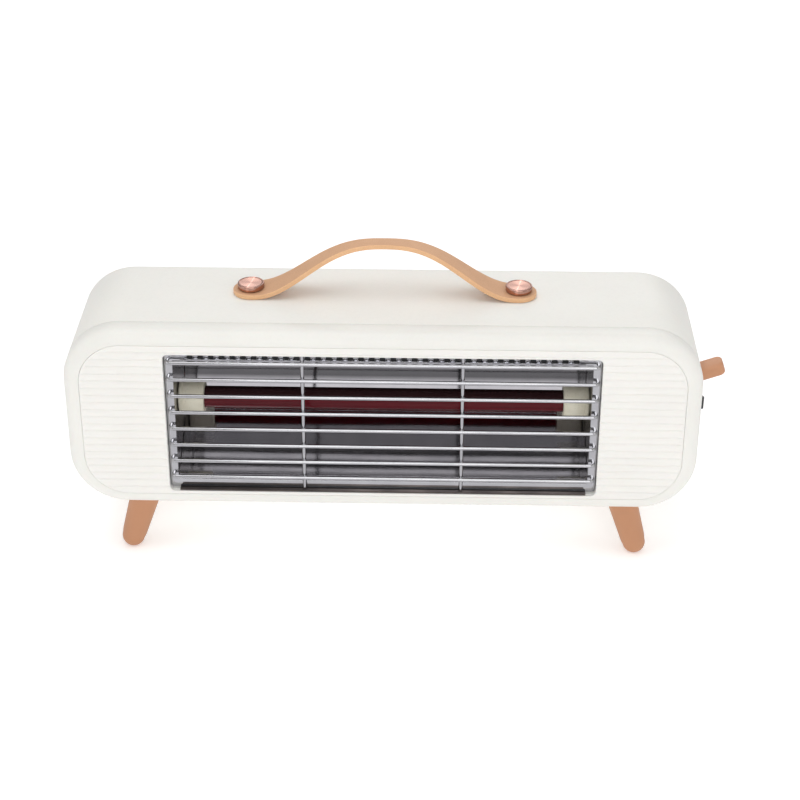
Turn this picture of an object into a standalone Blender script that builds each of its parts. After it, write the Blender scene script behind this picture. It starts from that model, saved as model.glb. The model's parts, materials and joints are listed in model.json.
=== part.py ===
"""A countertop infrared heater: a rounded casing on four splayed legs, with a strap handle.

Everything is in metres with +Z up. The front faces -Y, the floor is Z = 0, and the casing stands
a little left of the origin, because a lever reaches out of its right side. All pieces are placed
in the casing's own frame (X = 0 on its middle plane) and parented to one empty, which shifts them.
"""

import math

import bmesh
import bpy
from mathutils import Matrix, Vector

MM = 0.001
GAP = 0.3 * MM

# Casing
BODY_WIDTH = 400 * MM
BODY_DEPTH = 99 * MM
BODY_HEIGHT = 125 * MM
UNDERSIDE = 40 * MM
CORNER = 36 * MM
FRONT_FILLET = 8 * MM
REAR_FILLET = 6 * MM
WALL = 3 * MM
REAR_WALL = 6 * MM
SEAM_DEPTH = 16 * MM

FRONT = -BODY_DEPTH / 2
REAR = BODY_DEPTH / 2
SEAM = FRONT + SEAM_DEPTH
MIDDLE = UNDERSIDE + BODY_HEIGHT / 2
TOP = UNDERSIDE + BODY_HEIGHT
FLOOR_INSIDE = UNDERSIDE + WALL
HALF_WIDTH = BODY_WIDTH / 2
HALF_HEIGHT = BODY_HEIGHT / 2

# Fluted front panel
PANEL_HALF_WIDTH = 189.5 * MM
PANEL_HALF_HEIGHT = 53.3 * MM
PANEL_CORNER = 27.5 * MM
PANEL_SKIRT = 2.5 * MM
PANEL_PLATE = 3 * MM
SHOULDER = FRONT + 9.5 * MM
RIB_COUNT = 21
RIB_PITCH = 5.12 * MM
RIB_DEPTH = 0.8 * MM
OPENING_HALF_WIDTH = 136.5 * MM
OPENING_HALF_HEIGHT = 48.5 * MM
OPENING_CORNER = 3.5 * MM
OPENING_MIDDLE = MIDDLE - 1.2 * MM

# Wire guard and its bezel
WIRE = 2.5 * MM
WIRE_PLANE = FRONT + 1.3 * MM
WIRE_COUNT = 8
WIRE_PITCH = 11.76 * MM
WIRE_END = 132.6 * MM
UPRIGHT_X = 50 * MM
BEZEL_FACE = FRONT + 4.8 * MM
BEZEL_SHEET = 0.8 * MM
BEZEL_DEPTH = 8 * MM
BEZEL_HALF_WIDTH = 136.2 * MM
BEZEL_HALF_HEIGHT = 48.1 * MM
HOLE_COUNT = 37
HOLE_PITCH = 6.667 * MM
HOLE_WIDTH = 3.3 * MM
HOLE_HEIGHT = 2.8 * MM

# Heating element and reflector
TUBE_Y = -16.7 * MM
TUBE_RADIUS = 7 * MM
TUBE_BORE = 5.5 * MM
TUBE_HALF_LENGTH = 128 * MM
COIL_RADIUS = 3.2 * MM
COIL_WIRE = 0.9 * MM
COIL_TURNS = 16
COIL_HALF_LENGTH = 108 * MM
HOLDER_RADIUS = 11.5 * MM
HOLDER_NECK = 8 * MM
HOLDER_INNER = 115 * MM
REFLECTOR_HALF_LENGTH = 131.4 * MM
END_SHEET = 0.8 * MM
NECK_TIP = 142 * MM

# Handle
STRAP_TOP = 36.7 * MM
STRAP_THICK = 3 * MM
STRAP_WIDE = 22.8 * MM
STRAP_NARROW = 11 * MM
ARCH_HALF_SPAN = 82.5 * MM
ARCH_SHAPE = 1.3
RIVET_X = 85.4 * MM
RIVET_Y = 8.7 * MM
CAP_RADIUS = 8.5 * MM
CAP_HEIGHT = 4 * MM
STUD = 2.5 * MM

# Legs
LEG_X = 154.7 * MM
LEG_Y = 28.8 * MM
LEG_SPLAY = math.radians(17)
LEG_RAKE = math.radians(8)
LEG_TOP_RADIUS = 9.9 * MM
LEG_TIP_RADIUS = 7.4 * MM
LEG_SCREW = 2 * MM

# Side controls
LEVER_PIVOT = Vector((189 * MM, 1.8 * MM, 109.8 * MM))
LEVER_TILT = math.radians(20)
LEVER_REACH = 219.3 * MM
LEVER_DEPTH = 13 * MM
LEVER_THICK = 8.4 * MM
LEVER_HUB = 7.5 * MM
LEVER_HUB_HALF = 7.5 * MM
LEVER_SLOT_LOW = 103.4 * MM
LEVER_SLOT_HIGH = 118.8 * MM
LEVER_PIN = 1.5 * MM
ROCKER_PIVOT = Vector((202 * MM, 1.5 * MM, 95.6 * MM))
ROCKER_TILT = math.radians(9)
ROCKER_HALF_LENGTH = 7.6 * MM
ROCKER_HALF_HEIGHT = 4.4 * MM
ROCKER_PIN = 0.8 * MM

# Rear cover
COVER_HALF_WIDTH = 165 * MM
COVER_HALF_HEIGHT = 44 * MM
COVER_CORNER = 16 * MM
COVER_THICK = 3 * MM
COVER_LIP = 12 * MM
COVER_SCREW_INSET = 7 * MM
COVER_SCREW = 1.5 * MM
SLOT_COLUMNS = 15
SLOT_PITCH = 12.5 * MM
SLOT_WIDTH = 3.5 * MM
SLOT_HEIGHT = 22 * MM
SLOT_ROW = 14 * MM
GLAND_X = -140 * MM
GLAND_DROP = 24 * MM
GLAND_RADIUS = 7 * MM

# Tip-over switch
TIP_PIVOT = Vector((-152 * MM, 4 * MM, 79.5 * MM))
TIP_ARM = 22 * MM

# The lever sticks out on the right, so the casing's middle is left of the whole object's middle.
BODY_X = -(LEVER_REACH - HALF_WIDTH) / 2

# An outline lies in local X and Y and is thickened along local Z; these turn it to face an axis.
FACING_Z = Matrix.Identity(3)
FACING_Y = Matrix(((1, 0, 0), (0, 0, -1), (0, 1, 0)))
FACING_X = Matrix(((0, 0, 1), (1, 0, 0), (0, 1, 0)))

SIDES = {"left": -1, "right": 1}
ENDS = {"front": -1, "rear": 1}


# ---------------------------------------------------------------- scene and materials


def clear_scene():
    for obj in list(bpy.data.objects):
        bpy.data.objects.remove(obj, do_unlink=True)


def new_collection(name):
    collection = bpy.data.collections.new(name)
    bpy.context.scene.collection.children.link(collection)
    return collection


def new_material(name, color, roughness, metallic=0.0, transmission=0.0):
    material = bpy.data.materials.new(name)
    material.use_nodes = True
    shader = material.node_tree.nodes["Principled BSDF"]
    shader.inputs["Base Color"].default_value = (*color, 1)
    shader.inputs["Roughness"].default_value = roughness
    shader.inputs["Metallic"].default_value = metallic
    shader.inputs["Transmission Weight"].default_value = transmission
    return material


clear_scene()
PARTS = new_collection("infrared_heater")
CUTTERS = new_collection("cutters")
BASE = bpy.data.objects.new("heater_base", None)
BASE.location = (BODY_X, 0, 0)
PARTS.objects.link(BASE)

MATERIALS = {
    "casing": new_material("casing_plastic", (0.86, 0.85, 0.81), 0.42),
    "panel": new_material("panel_plastic", (0.90, 0.88, 0.83), 0.45),
    "chrome": new_material("chrome_wire", (0.72, 0.72, 0.74), 0.12, 1.0),
    "aluminium": new_material("polished_aluminium", (0.80, 0.80, 0.82), 0.18, 1.0),
    "zinc": new_material("zinc_plated_steel", (0.62, 0.63, 0.65), 0.35, 1.0),
    "copper": new_material("rose_gold", (0.86, 0.55, 0.45), 0.22, 1.0),
    "strap": new_material("tan_strap", (0.72, 0.44, 0.26), 0.55),
    "tan": new_material("tan_plastic", (0.60, 0.31, 0.17), 0.40),
    "ceramic": new_material("cream_ceramic", (0.80, 0.74, 0.58), 0.60),
    "ruby": new_material("ruby_quartz", (0.16, 0.01, 0.015), 0.08),
    "tungsten": new_material("tungsten", (0.30, 0.29, 0.28), 0.40, 1.0),
    "black": new_material("black_plastic", (0.03, 0.03, 0.035), 0.40),
    "lead": new_material("lead_insulation", (0.75, 0.73, 0.70), 0.60),
}


# ---------------------------------------------------------------- outlines


def arc(center, radius, start, end, steps):
    """Points on a circle, with the angles in degrees."""
    points = []
    for index in range(steps + 1):
        angle = math.radians(start + (end - start) * index / steps)
        points.append((center[0] + radius * math.cos(angle), center[1] + radius * math.sin(angle)))
    return points


def rounded_rectangle(half_x, half_y, radius, steps=8, center=(0, 0)):
    points = []
    for start, side_x, side_y in ((0, 1, 1), (90, -1, 1), (180, -1, -1), (270, 1, -1)):
        corner = (center[0] + side_x * (half_x - radius), center[1] + side_y * (half_y - radius))
        points += arc(corner, radius, start, start + 90, steps)
    return points


def circle(radius, steps=16, center=(0, 0)):
    return arc(center, radius, 0, 360, steps)[:-1]


def upright_slot(width, height, center, steps=4):
    """A slot with half-round ends."""
    reach = (height - width) / 2
    upper = arc((center[0], center[1] + reach), width / 2, 0, 180, steps)
    lower = arc((center[0], center[1] - reach), width / 2, 180, 360, steps)
    return upper + lower


def casing_outline(inset, steps=8):
    """The casing's rounded outline, moved inwards by an inset."""
    half_x, half_y = HALF_WIDTH - inset, HALF_HEIGHT - inset
    return rounded_rectangle(half_x, half_y, CORNER - inset, steps, (0, MIDDLE))


def panel_outline(inset, steps=8):
    half_x, half_y = PANEL_HALF_WIDTH - inset, PANEL_HALF_HEIGHT - inset
    return rounded_rectangle(half_x, half_y, PANEL_CORNER - inset, steps, (0, MIDDLE))


def offset_path(path, distance):
    """An open path moved sideways, each point along the bisector of its corner."""
    moved = []
    for index, point in enumerate(path):
        here = Vector(point)
        before = Vector(path[max(index - 1, 0)])
        after = Vector(path[min(index + 1, len(path) - 1)])
        normals = []
        for start, end in ((before, here), (here, after)):
            if (end - start).length > 0:
                run = (end - start).normalized()
                normals.append(Vector((-run.y, run.x)))
        mean = sum(normals, Vector((0, 0))).normalized()
        moved.append(tuple(here + mean * distance / mean.dot(normals[0])))
    return moved


def band_outline(path, thickness):
    """A closed outline of a bent sheet, from an open path along one of its faces."""
    return list(path) + list(reversed(offset_path(path, thickness)))


# ---------------------------------------------------------------- solids


def place(name, mesh, material=None):
    """Makes an object of a mesh: a part when it has a material, or else a cutter."""
    mesh.name = name
    obj = bpy.data.objects.new(name, mesh)
    obj.parent = BASE
    if material:
        mesh.materials.clear()
        mesh.materials.append(MATERIALS[material])
        PARTS.objects.link(obj)
    else:
        CUTTERS.objects.link(obj)
        obj.hide_render = True
        obj.display_type = "WIRE"
    return obj


def mesh_of(data):
    """The closed mesh of a curve, or of any object data, with its loose caps welded."""
    helper = bpy.data.objects.new("helper", data)
    CUTTERS.objects.link(helper)
    graph = bpy.context.evaluated_depsgraph_get()
    mesh = bpy.data.meshes.new_from_object(helper.evaluated_get(graph))
    bpy.data.objects.remove(helper)
    shape = bmesh.new()
    shape.from_mesh(mesh)
    bmesh.ops.remove_doubles(shape, verts=shape.verts, dist=0.000001)
    bmesh.ops.recalc_face_normals(shape, faces=shape.faces)
    shape.to_mesh(mesh)
    shape.free()
    return mesh


def add_spline(curve, points, closed):
    spline = curve.splines.new("POLY")
    spline.points.add(len(points) - 1)
    for target, point in zip(spline.points, points):
        target.co = (*Vector(point).to_3d(), 1)
    spline.use_cyclic_u = closed


def extrusion(name, outlines, low, high, facing, material=None):
    """Thickens flat outlines from low to high along the axis they face; inner outlines are holes."""
    curve = bpy.data.curves.new(name, "CURVE")
    curve.dimensions = "2D"
    curve.fill_mode = "BOTH"
    curve.extrude = (high - low) / 2
    for outline in outlines:
        add_spline(curve, outline, True)
    mesh = mesh_of(curve)
    middle = facing @ Vector((0, 0, 1)) * (high + low) / 2
    if facing is FACING_Y:
        middle = -middle
    mesh.transform(Matrix.Translation(middle) @ facing.to_4x4())
    return place(name, mesh, material)


def box(name, low, high, material=None):
    size = [high[i] - low[i] for i in range(3)]
    middle = [(high[i] + low[i]) / 2 for i in range(3)]
    shape = bmesh.new()
    matrix = Matrix.Translation(middle) @ Matrix.Diagonal((*size, 1))
    bmesh.ops.create_cube(shape, size=1, matrix=matrix)
    mesh = bpy.data.meshes.new(name)
    shape.to_mesh(mesh)
    shape.free()
    return place(name, mesh, material)


def rod(name, radius, start, end, material=None, sides=16):
    """A cylinder between two points."""
    start, end = Vector(start), Vector(end)
    along = end - start
    turn = along.to_track_quat("Z", "Y").to_matrix().to_4x4()
    shape = bmesh.new()
    bmesh.ops.create_cone(
        shape,
        cap_ends=True,
        segments=sides,
        radius1=radius,
        radius2=radius,
        depth=along.length,
        matrix=Matrix.Translation((start + end) / 2) @ turn,
    )
    mesh = bpy.data.meshes.new(name)
    shape.to_mesh(mesh)
    shape.free()
    return place(name, mesh, material)


def turned(name, profile, placement, material=None, steps=24):
    """A profile of (radius, height) points, listed from top to bottom, spun about its own Z."""
    closed = profile[0][0] > 0
    mesh = bpy.data.meshes.new(name)
    shape = bmesh.new()
    points = [shape.verts.new((radius, 0, height)) for radius, height in profile]
    for start, end in zip(points, points[1:]):
        shape.edges.new((start, end))
    if closed:
        shape.edges.new((points[-1], points[0]))
    shape.to_mesh(mesh)
    shape.free()
    obj = place(name, mesh, material)
    screw = obj.modifiers.new("turn", "SCREW")
    screw.steps = steps
    screw.render_steps = steps
    screw.use_merge_vertices = True
    screw.merge_threshold = 0.00001
    obj.matrix_local = placement
    return obj


def tube(name, points, thickness, material=None, resolution=2, smooth=False):
    """A round wire along points, as a mesh with filled ends."""
    curve = bpy.data.curves.new(name, "CURVE")
    curve.dimensions = "3D"
    curve.bevel_depth = thickness / 2
    curve.bevel_resolution = resolution
    curve.use_fill_caps = True
    if smooth:
        curve.resolution_u = 5
        spline = curve.splines.new("BEZIER")
        spline.bezier_points.add(len(points) - 1)
        for knot, point in zip(spline.bezier_points, points):
            knot.co = point
            knot.handle_left_type = "AUTO"
            knot.handle_right_type = "AUTO"
    else:
        add_spline(curve, points, False)
    return place(name, mesh_of(curve), material)


def combine(obj, other, operation):
    modifier = obj.modifiers.new(other.name, "BOOLEAN")
    modifier.operation = operation
    modifier.solver = "EXACT"
    modifier.object = other


def cut(obj, *cutters):
    for cutter in cutters:
        combine(obj, cutter, "DIFFERENCE")


def join(obj, *others):
    for other in others:
        combine(obj, other, "UNION")


def round_rim(obj, at_y, radius, segments):
    """Fillets the outer edge of the flat end at one Y."""
    shape = bmesh.new()
    shape.from_mesh(obj.data)
    bmesh.ops.dissolve_limit(shape, angle_limit=0.01, verts=shape.verts, edges=shape.edges)
    rim = [edge for edge in shape.edges if all(abs(v.co.y - at_y) < GAP / 10 for v in edge.verts)]
    bmesh.ops.bevel(shape, geom=rim, offset=radius, segments=segments, profile=0.5, affect="EDGES")
    shape.to_mesh(obj.data)
    shape.free()


def soften(obj, width, segments=2):
    """Rounds the sharp edges of a piece that holds no loose caps."""
    bevel = obj.modifiers.new("soft edges", "BEVEL")
    bevel.width = width
    bevel.segments = segments
    bevel.limit_method = "ANGLE"
    bevel.angle_limit = math.radians(50)


def hang_from(obj, pivot):
    """Moves an object's origin onto its joint without moving its shape."""
    obj.data.transform(Matrix.Translation(-pivot))
    obj.location = pivot


# ---------------------------------------------------------------- casing


def build_rear_shell():
    shell = extrusion("rear_shell", [casing_outline(0)], SEAM + GAP / 2, REAR, FACING_Y, "casing")
    round_rim(shell, REAR, REAR_FILLET, 4)
    hollow = extrusion("shell_hollow", [casing_outline(WALL)], FRONT, REAR - REAR_WALL, FACING_Y)
    seat = extrusion("cover_seat", [cover_outline(-GAP)], REAR - COVER_THICK - GAP, REAR + WALL, FACING_Y)
    window = extrusion("cover_window", [cover_outline(COVER_LIP)], 0, REAR + WALL, FACING_Y)
    cut(shell, hollow, seat, window)
    for corner, x, z in cover_corners():
        ends = [(x, REAR - 2 * REAR_WALL, z), (x, REAR, z)]
        cut(shell, rod(f"cover_pilot_{corner}", COVER_SCREW + GAP, *ends))
    for side, sign in SIDES.items():
        x = sign * RIVET_X
        ends = [(x, RIVET_Y, TOP - 2 * WALL), (x, RIVET_Y, TOP + WALL)]
        cut(shell, rod(f"stud_hole_{side}", STUD + GAP, *ends))
        for end, way in ENDS.items():
            spot = (sign * LEG_X, way * LEG_Y)
            ends = [(*spot, UNDERSIDE - WALL), (*spot, UNDERSIDE + 2 * WALL)]
            cut(shell, rod(f"leg_hole_{end}_{side}", LEG_SCREW + GAP, *ends))
    slot_center = (LEVER_PIVOT.y, (LEVER_SLOT_LOW + LEVER_SLOT_HIGH) / 2)
    slot_half = (LEVER_SLOT_HIGH - LEVER_SLOT_LOW) / 2
    slot_outline = rounded_rectangle(LEVER_DEPTH / 2 + 0.5 * MM, slot_half, 2 * MM, 4, slot_center)
    side_wall = (HALF_WIDTH - 2 * WALL, HALF_WIDTH + WALL)
    cut(shell, extrusion("lever_slot", [slot_outline], *side_wall, FACING_X))
    switch_outline = rounded_rectangle(9.5 * MM + GAP, 5.7 * MM + GAP, 1 * MM, 3, ROCKER_PIVOT.yz)
    cut(shell, extrusion("rocker_hole", [switch_outline], *side_wall, FACING_X))


def build_front_frame():
    frame = extrusion("front_frame", [casing_outline(0)], FRONT, SEAM - GAP / 2, FACING_Y, "casing")
    round_rim(frame, FRONT, FRONT_FILLET, 5)
    cut(frame, extrusion("frame_window", [panel_outline(-GAP)], FRONT - WALL, REAR, FACING_Y))
    cut(frame, extrusion("frame_hollow", [casing_outline(WALL)], SHOULDER, REAR, FACING_Y))


def build_front_panel():
    """A plate of soft horizontal ribs with a skirt and a flange that seats behind the frame."""
    half_field = RIB_COUNT * RIB_PITCH / 2
    back = SHOULDER + 2 * MM
    section = [(back, MIDDLE - half_field)]
    for rib in range(RIB_COUNT):
        low = MIDDLE - half_field + rib * RIB_PITCH
        for step in range(5):
            share = step / 4
            if rib > 0 and step == 0:
                continue
            bulge = math.sin(math.pi * share) ** 0.6
            section.append((FRONT + RIB_DEPTH * (1 - bulge), low + share * RIB_PITCH))
    section.append((back, MIDDLE + half_field))
    panel = extrusion("front_panel", [section], -HALF_WIDTH, HALF_WIDTH, FACING_X, "panel")
    combine(panel, extrusion("panel_edge", [panel_outline(0)], FRONT - WALL, 0, FACING_Y), "INTERSECT")
    flange = extrusion("panel_flange", [panel_outline(-4 * MM)], SHOULDER + GAP, back, FACING_Y)
    join(panel, flange)
    plate_back = FRONT + PANEL_PLATE
    cut(panel, extrusion("panel_hollow", [panel_outline(PANEL_SKIRT)], plate_back, 0, FACING_Y))
    window = rounded_rectangle(OPENING_HALF_WIDTH, OPENING_HALF_HEIGHT, OPENING_CORNER, 4, (0, OPENING_MIDDLE))
    cut(panel, extrusion("panel_window", [window], FRONT - WALL, 0, FACING_Y))


def cover_outline(inset):
    half_x, half_y = COVER_HALF_WIDTH - inset, COVER_HALF_HEIGHT - inset
    radius = max(COVER_CORNER - inset, 4 * MM)
    return rounded_rectangle(half_x, half_y, radius, 6, (0, MIDDLE))


def cover_corners():
    """The four screw spots of the rear cover, each with a name and its X and Z."""
    reach_x = COVER_HALF_WIDTH - COVER_SCREW_INSET - 3 * MM
    reach_z = COVER_HALF_HEIGHT - COVER_SCREW_INSET
    spots = []
    for side, sign in SIDES.items():
        for level, way in {"upper": 1, "lower": -1}.items():
            spots.append((f"{level}_{side}", sign * reach_x, MIDDLE + way * reach_z))
    return spots


def build_back_cover():
    outlines = [cover_outline(0)]
    for column in range(SLOT_COLUMNS):
        x = (column - (SLOT_COLUMNS - 1) / 2) * SLOT_PITCH
        for row in (-1, 1):
            center = (x, MIDDLE + row * SLOT_ROW)
            outlines.append(upright_slot(SLOT_WIDTH, SLOT_HEIGHT, center))
    outlines.append(circle(GLAND_RADIUS + GAP, 16, (GLAND_X, MIDDLE - GLAND_DROP)))
    cover = extrusion("back_cover", outlines, REAR - COVER_THICK, REAR, FACING_Y, "casing")
    for name, x, z in cover_corners():
        cut(cover, rod(f"cover_hole_{name}", COVER_SCREW + GAP, (x, 0, z), (x, REAR + WALL, z)))
        sink = rod(f"cover_sink_{name}", 3.2 * MM + GAP, (x, REAR - 1.6 * MM, z), (x, REAR + WALL, z))
        cut(cover, sink)
        build_cover_screw(name, x, z)


def build_cover_screw(name, x, z):
    """A pan-head screw that sits flush in the cover, with its head towards +Y."""
    profile = [(0, 0), (2.6 * MM, 0), (3.2 * MM, -0.5 * MM), (3.2 * MM, -1.3 * MM)]
    profile += [(COVER_SCREW, -1.3 * MM), (COVER_SCREW, -9 * MM), (0, -9.8 * MM)]
    placement = Matrix.Translation((x, REAR, z)) @ Matrix.Rotation(-math.pi / 2, 4, "X")
    turned(f"back_cover_screw_{name}", profile, placement, "zinc", 12)


def build_cord_gland():
    """An open bush in the rear cover, where a cord would leave."""
    bore, collar = 3.6 * MM, 10 * MM
    inner, outer = -COVER_THICK - 3 * MM, 3.2 * MM
    profile = [(bore, outer), (5.6 * MM, outer), (6.4 * MM, outer - 0.8 * MM), (6.8 * MM, 1.8 * MM)]
    profile += [(collar, 1.8 * MM), (collar, GAP), (GLAND_RADIUS, GAP), (GLAND_RADIUS, inner), (bore, inner)]
    spot = Matrix.Translation((GLAND_X, REAR, MIDDLE - GLAND_DROP))
    turned("cord_gland", profile, spot @ Matrix.Rotation(-math.pi / 2, 4, "X"), "casing", 20)


# ---------------------------------------------------------------- guard and bezel


def build_wire_grille():
    """Eight level wires with ends bent back, welded to two uprights behind them."""
    bend = 2 * MM
    back = BEZEL_FACE - GAP
    wires = []
    for index in range(WIRE_COUNT):
        z = MIDDLE + (index - (WIRE_COUNT - 1) / 2) * WIRE_PITCH
        corner = [(WIRE_END - bend + x, WIRE_PLANE + bend + y) for x, y in arc((0, 0), bend, -90, 0, 3)]
        half = [(x, y, z) for x, y in corner] + [(WIRE_END, back, z)]
        points = [(-x, y, level) for x, y, level in reversed(half)] + half
        material = None if index else "chrome"
        wires.append(tube("wire_grille" if index == 0 else f"level_wire_{index}", points, WIRE, material))
    upright_y = WIRE_PLANE + WIRE - 0.35 * MM
    for side, sign in SIDES.items():
        low, high = OPENING_MIDDLE - BEZEL_HALF_HEIGHT + BEZEL_SHEET + GAP, MIDDLE + 46.7 * MM
        ends = [(sign * UPRIGHT_X, upright_y, low), (sign * UPRIGHT_X, upright_y, high)]
        wires.append(rod(f"upright_wire_{side}", WIRE / 2, *ends, sides=8))
    join(wires[0], *wires[-2:], *wires[1:-2])


def build_grille_frame():
    """The chrome bezel: a face with a perforated top edge, a shallow tray behind it and a sill."""
    middle = (0, OPENING_MIDDLE)
    outer = rounded_rectangle(BEZEL_HALF_WIDTH, BEZEL_HALF_HEIGHT, 3 * MM, 3, middle)
    low, high, side = MIDDLE - 45 * MM, MIDDLE + 42 * MM, 128.5 * MM
    window = [(side, low), (side, high), (-side, high), (-side, low)]
    outlines = [outer, window]
    for index in range(HOLE_COUNT):
        center = ((index - (HOLE_COUNT - 1) / 2) * HOLE_PITCH, MIDDLE + 44.2 * MM)
        outlines.append(rounded_rectangle(HOLE_WIDTH / 2, HOLE_HEIGHT / 2, 1 * MM, 1, center))
    back = BEZEL_FACE + BEZEL_SHEET
    bezel = extrusion("grille_frame", outlines, BEZEL_FACE, back, FACING_Y, "chrome")
    inset = BEZEL_SHEET
    inner = rounded_rectangle(BEZEL_HALF_WIDTH - inset, BEZEL_HALF_HEIGHT - inset, 2.2 * MM, 3, middle)
    tray = extrusion("bezel_tray", [outer, inner], back - BEZEL_SHEET / 2, BEZEL_FACE + BEZEL_DEPTH, FACING_Y)
    sill_z = OPENING_MIDDLE - BEZEL_HALF_HEIGHT
    sill = box(
        "bezel_sill",
        (-130 * MM, FRONT + 0.4 * MM, sill_z),
        (130 * MM, BEZEL_FACE + BEZEL_SHEET / 2, sill_z + BEZEL_SHEET),
    )
    join(bezel, tray, sill)


# ---------------------------------------------------------------- heating element


def reflector_path():
    """The reflecting face's section, from the top front edge round the back to the bottom one."""
    upper = [(-42.5, 42.6), (-20, 39.5), (2, 29), (12, 13)]
    lower = [(y, -z) for y, z in reversed(upper)]
    return [(y * MM, MIDDLE + z * MM) for y, z in upper + lower]


def build_reflector():
    outline = band_outline(reflector_path(), 0.8 * MM)
    reach = REFLECTOR_HALF_LENGTH
    extrusion("reflector", [outline], -reach, reach, FACING_X, "aluminium")
    edge = offset_path(reflector_path(), 2.2 * MM)
    front = BEZEL_FACE + BEZEL_SHEET + GAP
    edge = [(front, edge[0][1])] + edge[1:-1] + [(front, edge[-1][1])]
    hole = circle(HOLDER_NECK + 0.5 * MM, 20, (TUBE_Y, MIDDLE))
    for side, sign in SIDES.items():
        faces = sorted((sign * (reach + GAP), sign * (reach + GAP + END_SHEET)))
        extrusion(f"reflector_end_{side}", [edge, hole], *faces, FACING_X, "aluminium")


def build_heat_shield():
    upper = [(-34, 49.8), (8, 49.8), (22, 36)]
    lower = [(y, -z) for y, z in reversed(upper)]
    path = [(y * MM, MIDDLE + z * MM) for y, z in upper + lower]
    extrusion("heat_shield", [band_outline(path, 0.8 * MM)], -128 * MM, 128 * MM, FACING_X, "zinc")


def along_x(x):
    """A placement whose own Z points along +X, on the tube's axis."""
    return Matrix.Translation((x, TUBE_Y, MIDDLE)) @ Matrix.Rotation(math.pi / 2, 4, "Y")


def build_quartz_tube():
    reach = TUBE_HALF_LENGTH
    profile = [(TUBE_BORE, reach), (TUBE_RADIUS, reach), (TUBE_RADIUS, -reach), (TUBE_BORE, -reach)]
    turned("quartz_tube", profile, along_x(0), "ruby", 32)


def build_filament():
    """A loose coil with straight leads that pass out through both holders."""
    steps = 7
    points = [(-NECK_TIP + GAP, TUBE_Y, MIDDLE), (-COIL_HALF_LENGTH - 4 * MM, TUBE_Y, MIDDLE)]
    for index in range(COIL_TURNS * steps + 1):
        share = index / (COIL_TURNS * steps)
        angle = math.tau * index / steps
        y = TUBE_Y + COIL_RADIUS * math.sin(angle)
        z = MIDDLE + COIL_RADIUS * math.cos(angle)
        points.append((-COIL_HALF_LENGTH + 2 * COIL_HALF_LENGTH * share, y, z))
    points += [(COIL_HALF_LENGTH + 4 * MM, TUBE_Y, MIDDLE), (NECK_TIP - GAP, TUBE_Y, MIDDLE)]
    tube("heating_filament", points, COIL_WIRE, "tungsten", 1)


def build_holder(side, sign):
    """A ceramic end cap: a thick collar over the tube's end and a neck through the end plate."""
    shoulder = REFLECTOR_HALF_LENGTH - GAP
    seat = TUBE_HALF_LENGTH + GAP
    profile = [
        (2 * MM, NECK_TIP),
        (HOLDER_NECK, NECK_TIP),
        (HOLDER_NECK, shoulder),
        (HOLDER_RADIUS, shoulder),
        (HOLDER_RADIUS, HOLDER_INNER + 1 * MM),
        (HOLDER_RADIUS - 1 * MM, HOLDER_INNER),
        (TUBE_RADIUS + GAP, HOLDER_INNER),
        (TUBE_RADIUS + GAP, seat),
        (2 * MM, seat),
    ]
    placement = along_x(0)
    if sign < 0:
        placement = placement @ Matrix.Rotation(math.pi, 4, "Y")
    turned(f"ceramic_holder_{side}", profile, placement, "ceramic", 22)


def build_holder_bracket(side, sign):
    """A sheet bracket that grips the holder's neck and stands on the end plate."""
    foot = REFLECTOR_HALF_LENGTH + END_SHEET + 2 * GAP
    face = 137 * MM
    sheet = 1 * MM
    plate_outline = rounded_rectangle(13 * MM, 15 * MM, 2 * MM, 3, (TUBE_Y, MIDDLE))
    hole = circle(HOLDER_NECK + GAP, 20, (TUBE_Y, MIDDLE))
    faces = sorted((sign * face, sign * (face + sheet)))
    plate = extrusion(f"holder_bracket_{side}", [plate_outline, hole], *faces, FACING_X, "zinc")
    for name, way in {"upper": 1, "lower": -1}.items():
        z = MIDDLE + way * 14.2 * MM
        x = sorted((sign * foot, sign * (face + sheet / 2)))
        low = (x[0], TUBE_Y - 8 * MM, z - sheet / 2)
        high = (x[1], TUBE_Y + 8 * MM, z + sheet / 2)
        join(plate, box(f"bracket_tab_{name}_{side}", low, high))


# ---------------------------------------------------------------- handle


def strap_height(x):
    """Height of the strap's upper face above the casing at one distance from the middle."""
    share = min(abs(x) / ARCH_HALF_SPAN, 1)
    rise = STRAP_TOP - STRAP_THICK - GAP
    return STRAP_THICK + GAP + rise * 0.5 * (1 + math.cos(math.pi * share**ARCH_SHAPE))


def build_strap():
    reach = RIVET_X + STRAP_WIDE / 2
    steps = 32
    path = []
    for index in range(steps + 1):
        x = reach * (2 * index / steps - 1)
        path.append((x, TOP + strap_height(x)))
    side_view = band_outline(path, -STRAP_THICK)
    low, high = RIVET_Y - STRAP_WIDE, RIVET_Y + STRAP_WIDE
    strap = extrusion("strap_handle", [side_view], low, high, FACING_Y, "strap")
    plan = []
    for sign in (1, -1):
        start = -90 * sign
        plan += arc((sign * RIVET_X, RIVET_Y), STRAP_WIDE / 2, start, start + 180, 10)
        for index in range(1, 12):
            x = sign * RIVET_X * (1 - index / 6)
            spread = math.sin(math.pi / 2 * abs(x) / RIVET_X) ** 2
            half = (STRAP_NARROW + (STRAP_WIDE - STRAP_NARROW) * spread) / 2
            plan.append((x, RIVET_Y + sign * half))
    combine(strap, extrusion("strap_plan", [plan], TOP - WALL, TOP + 2 * STRAP_TOP, FACING_Z), "INTERSECT")
    for side, sign in SIDES.items():
        x = sign * RIVET_X
        ends = [(x, RIVET_Y, TOP - WALL), (x, RIVET_Y, TOP + 4 * WALL)]
        cut(strap, rod(f"strap_hole_{side}", STUD + GAP, *ends))
    soften(strap, 0.5 * MM, 1)


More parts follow.
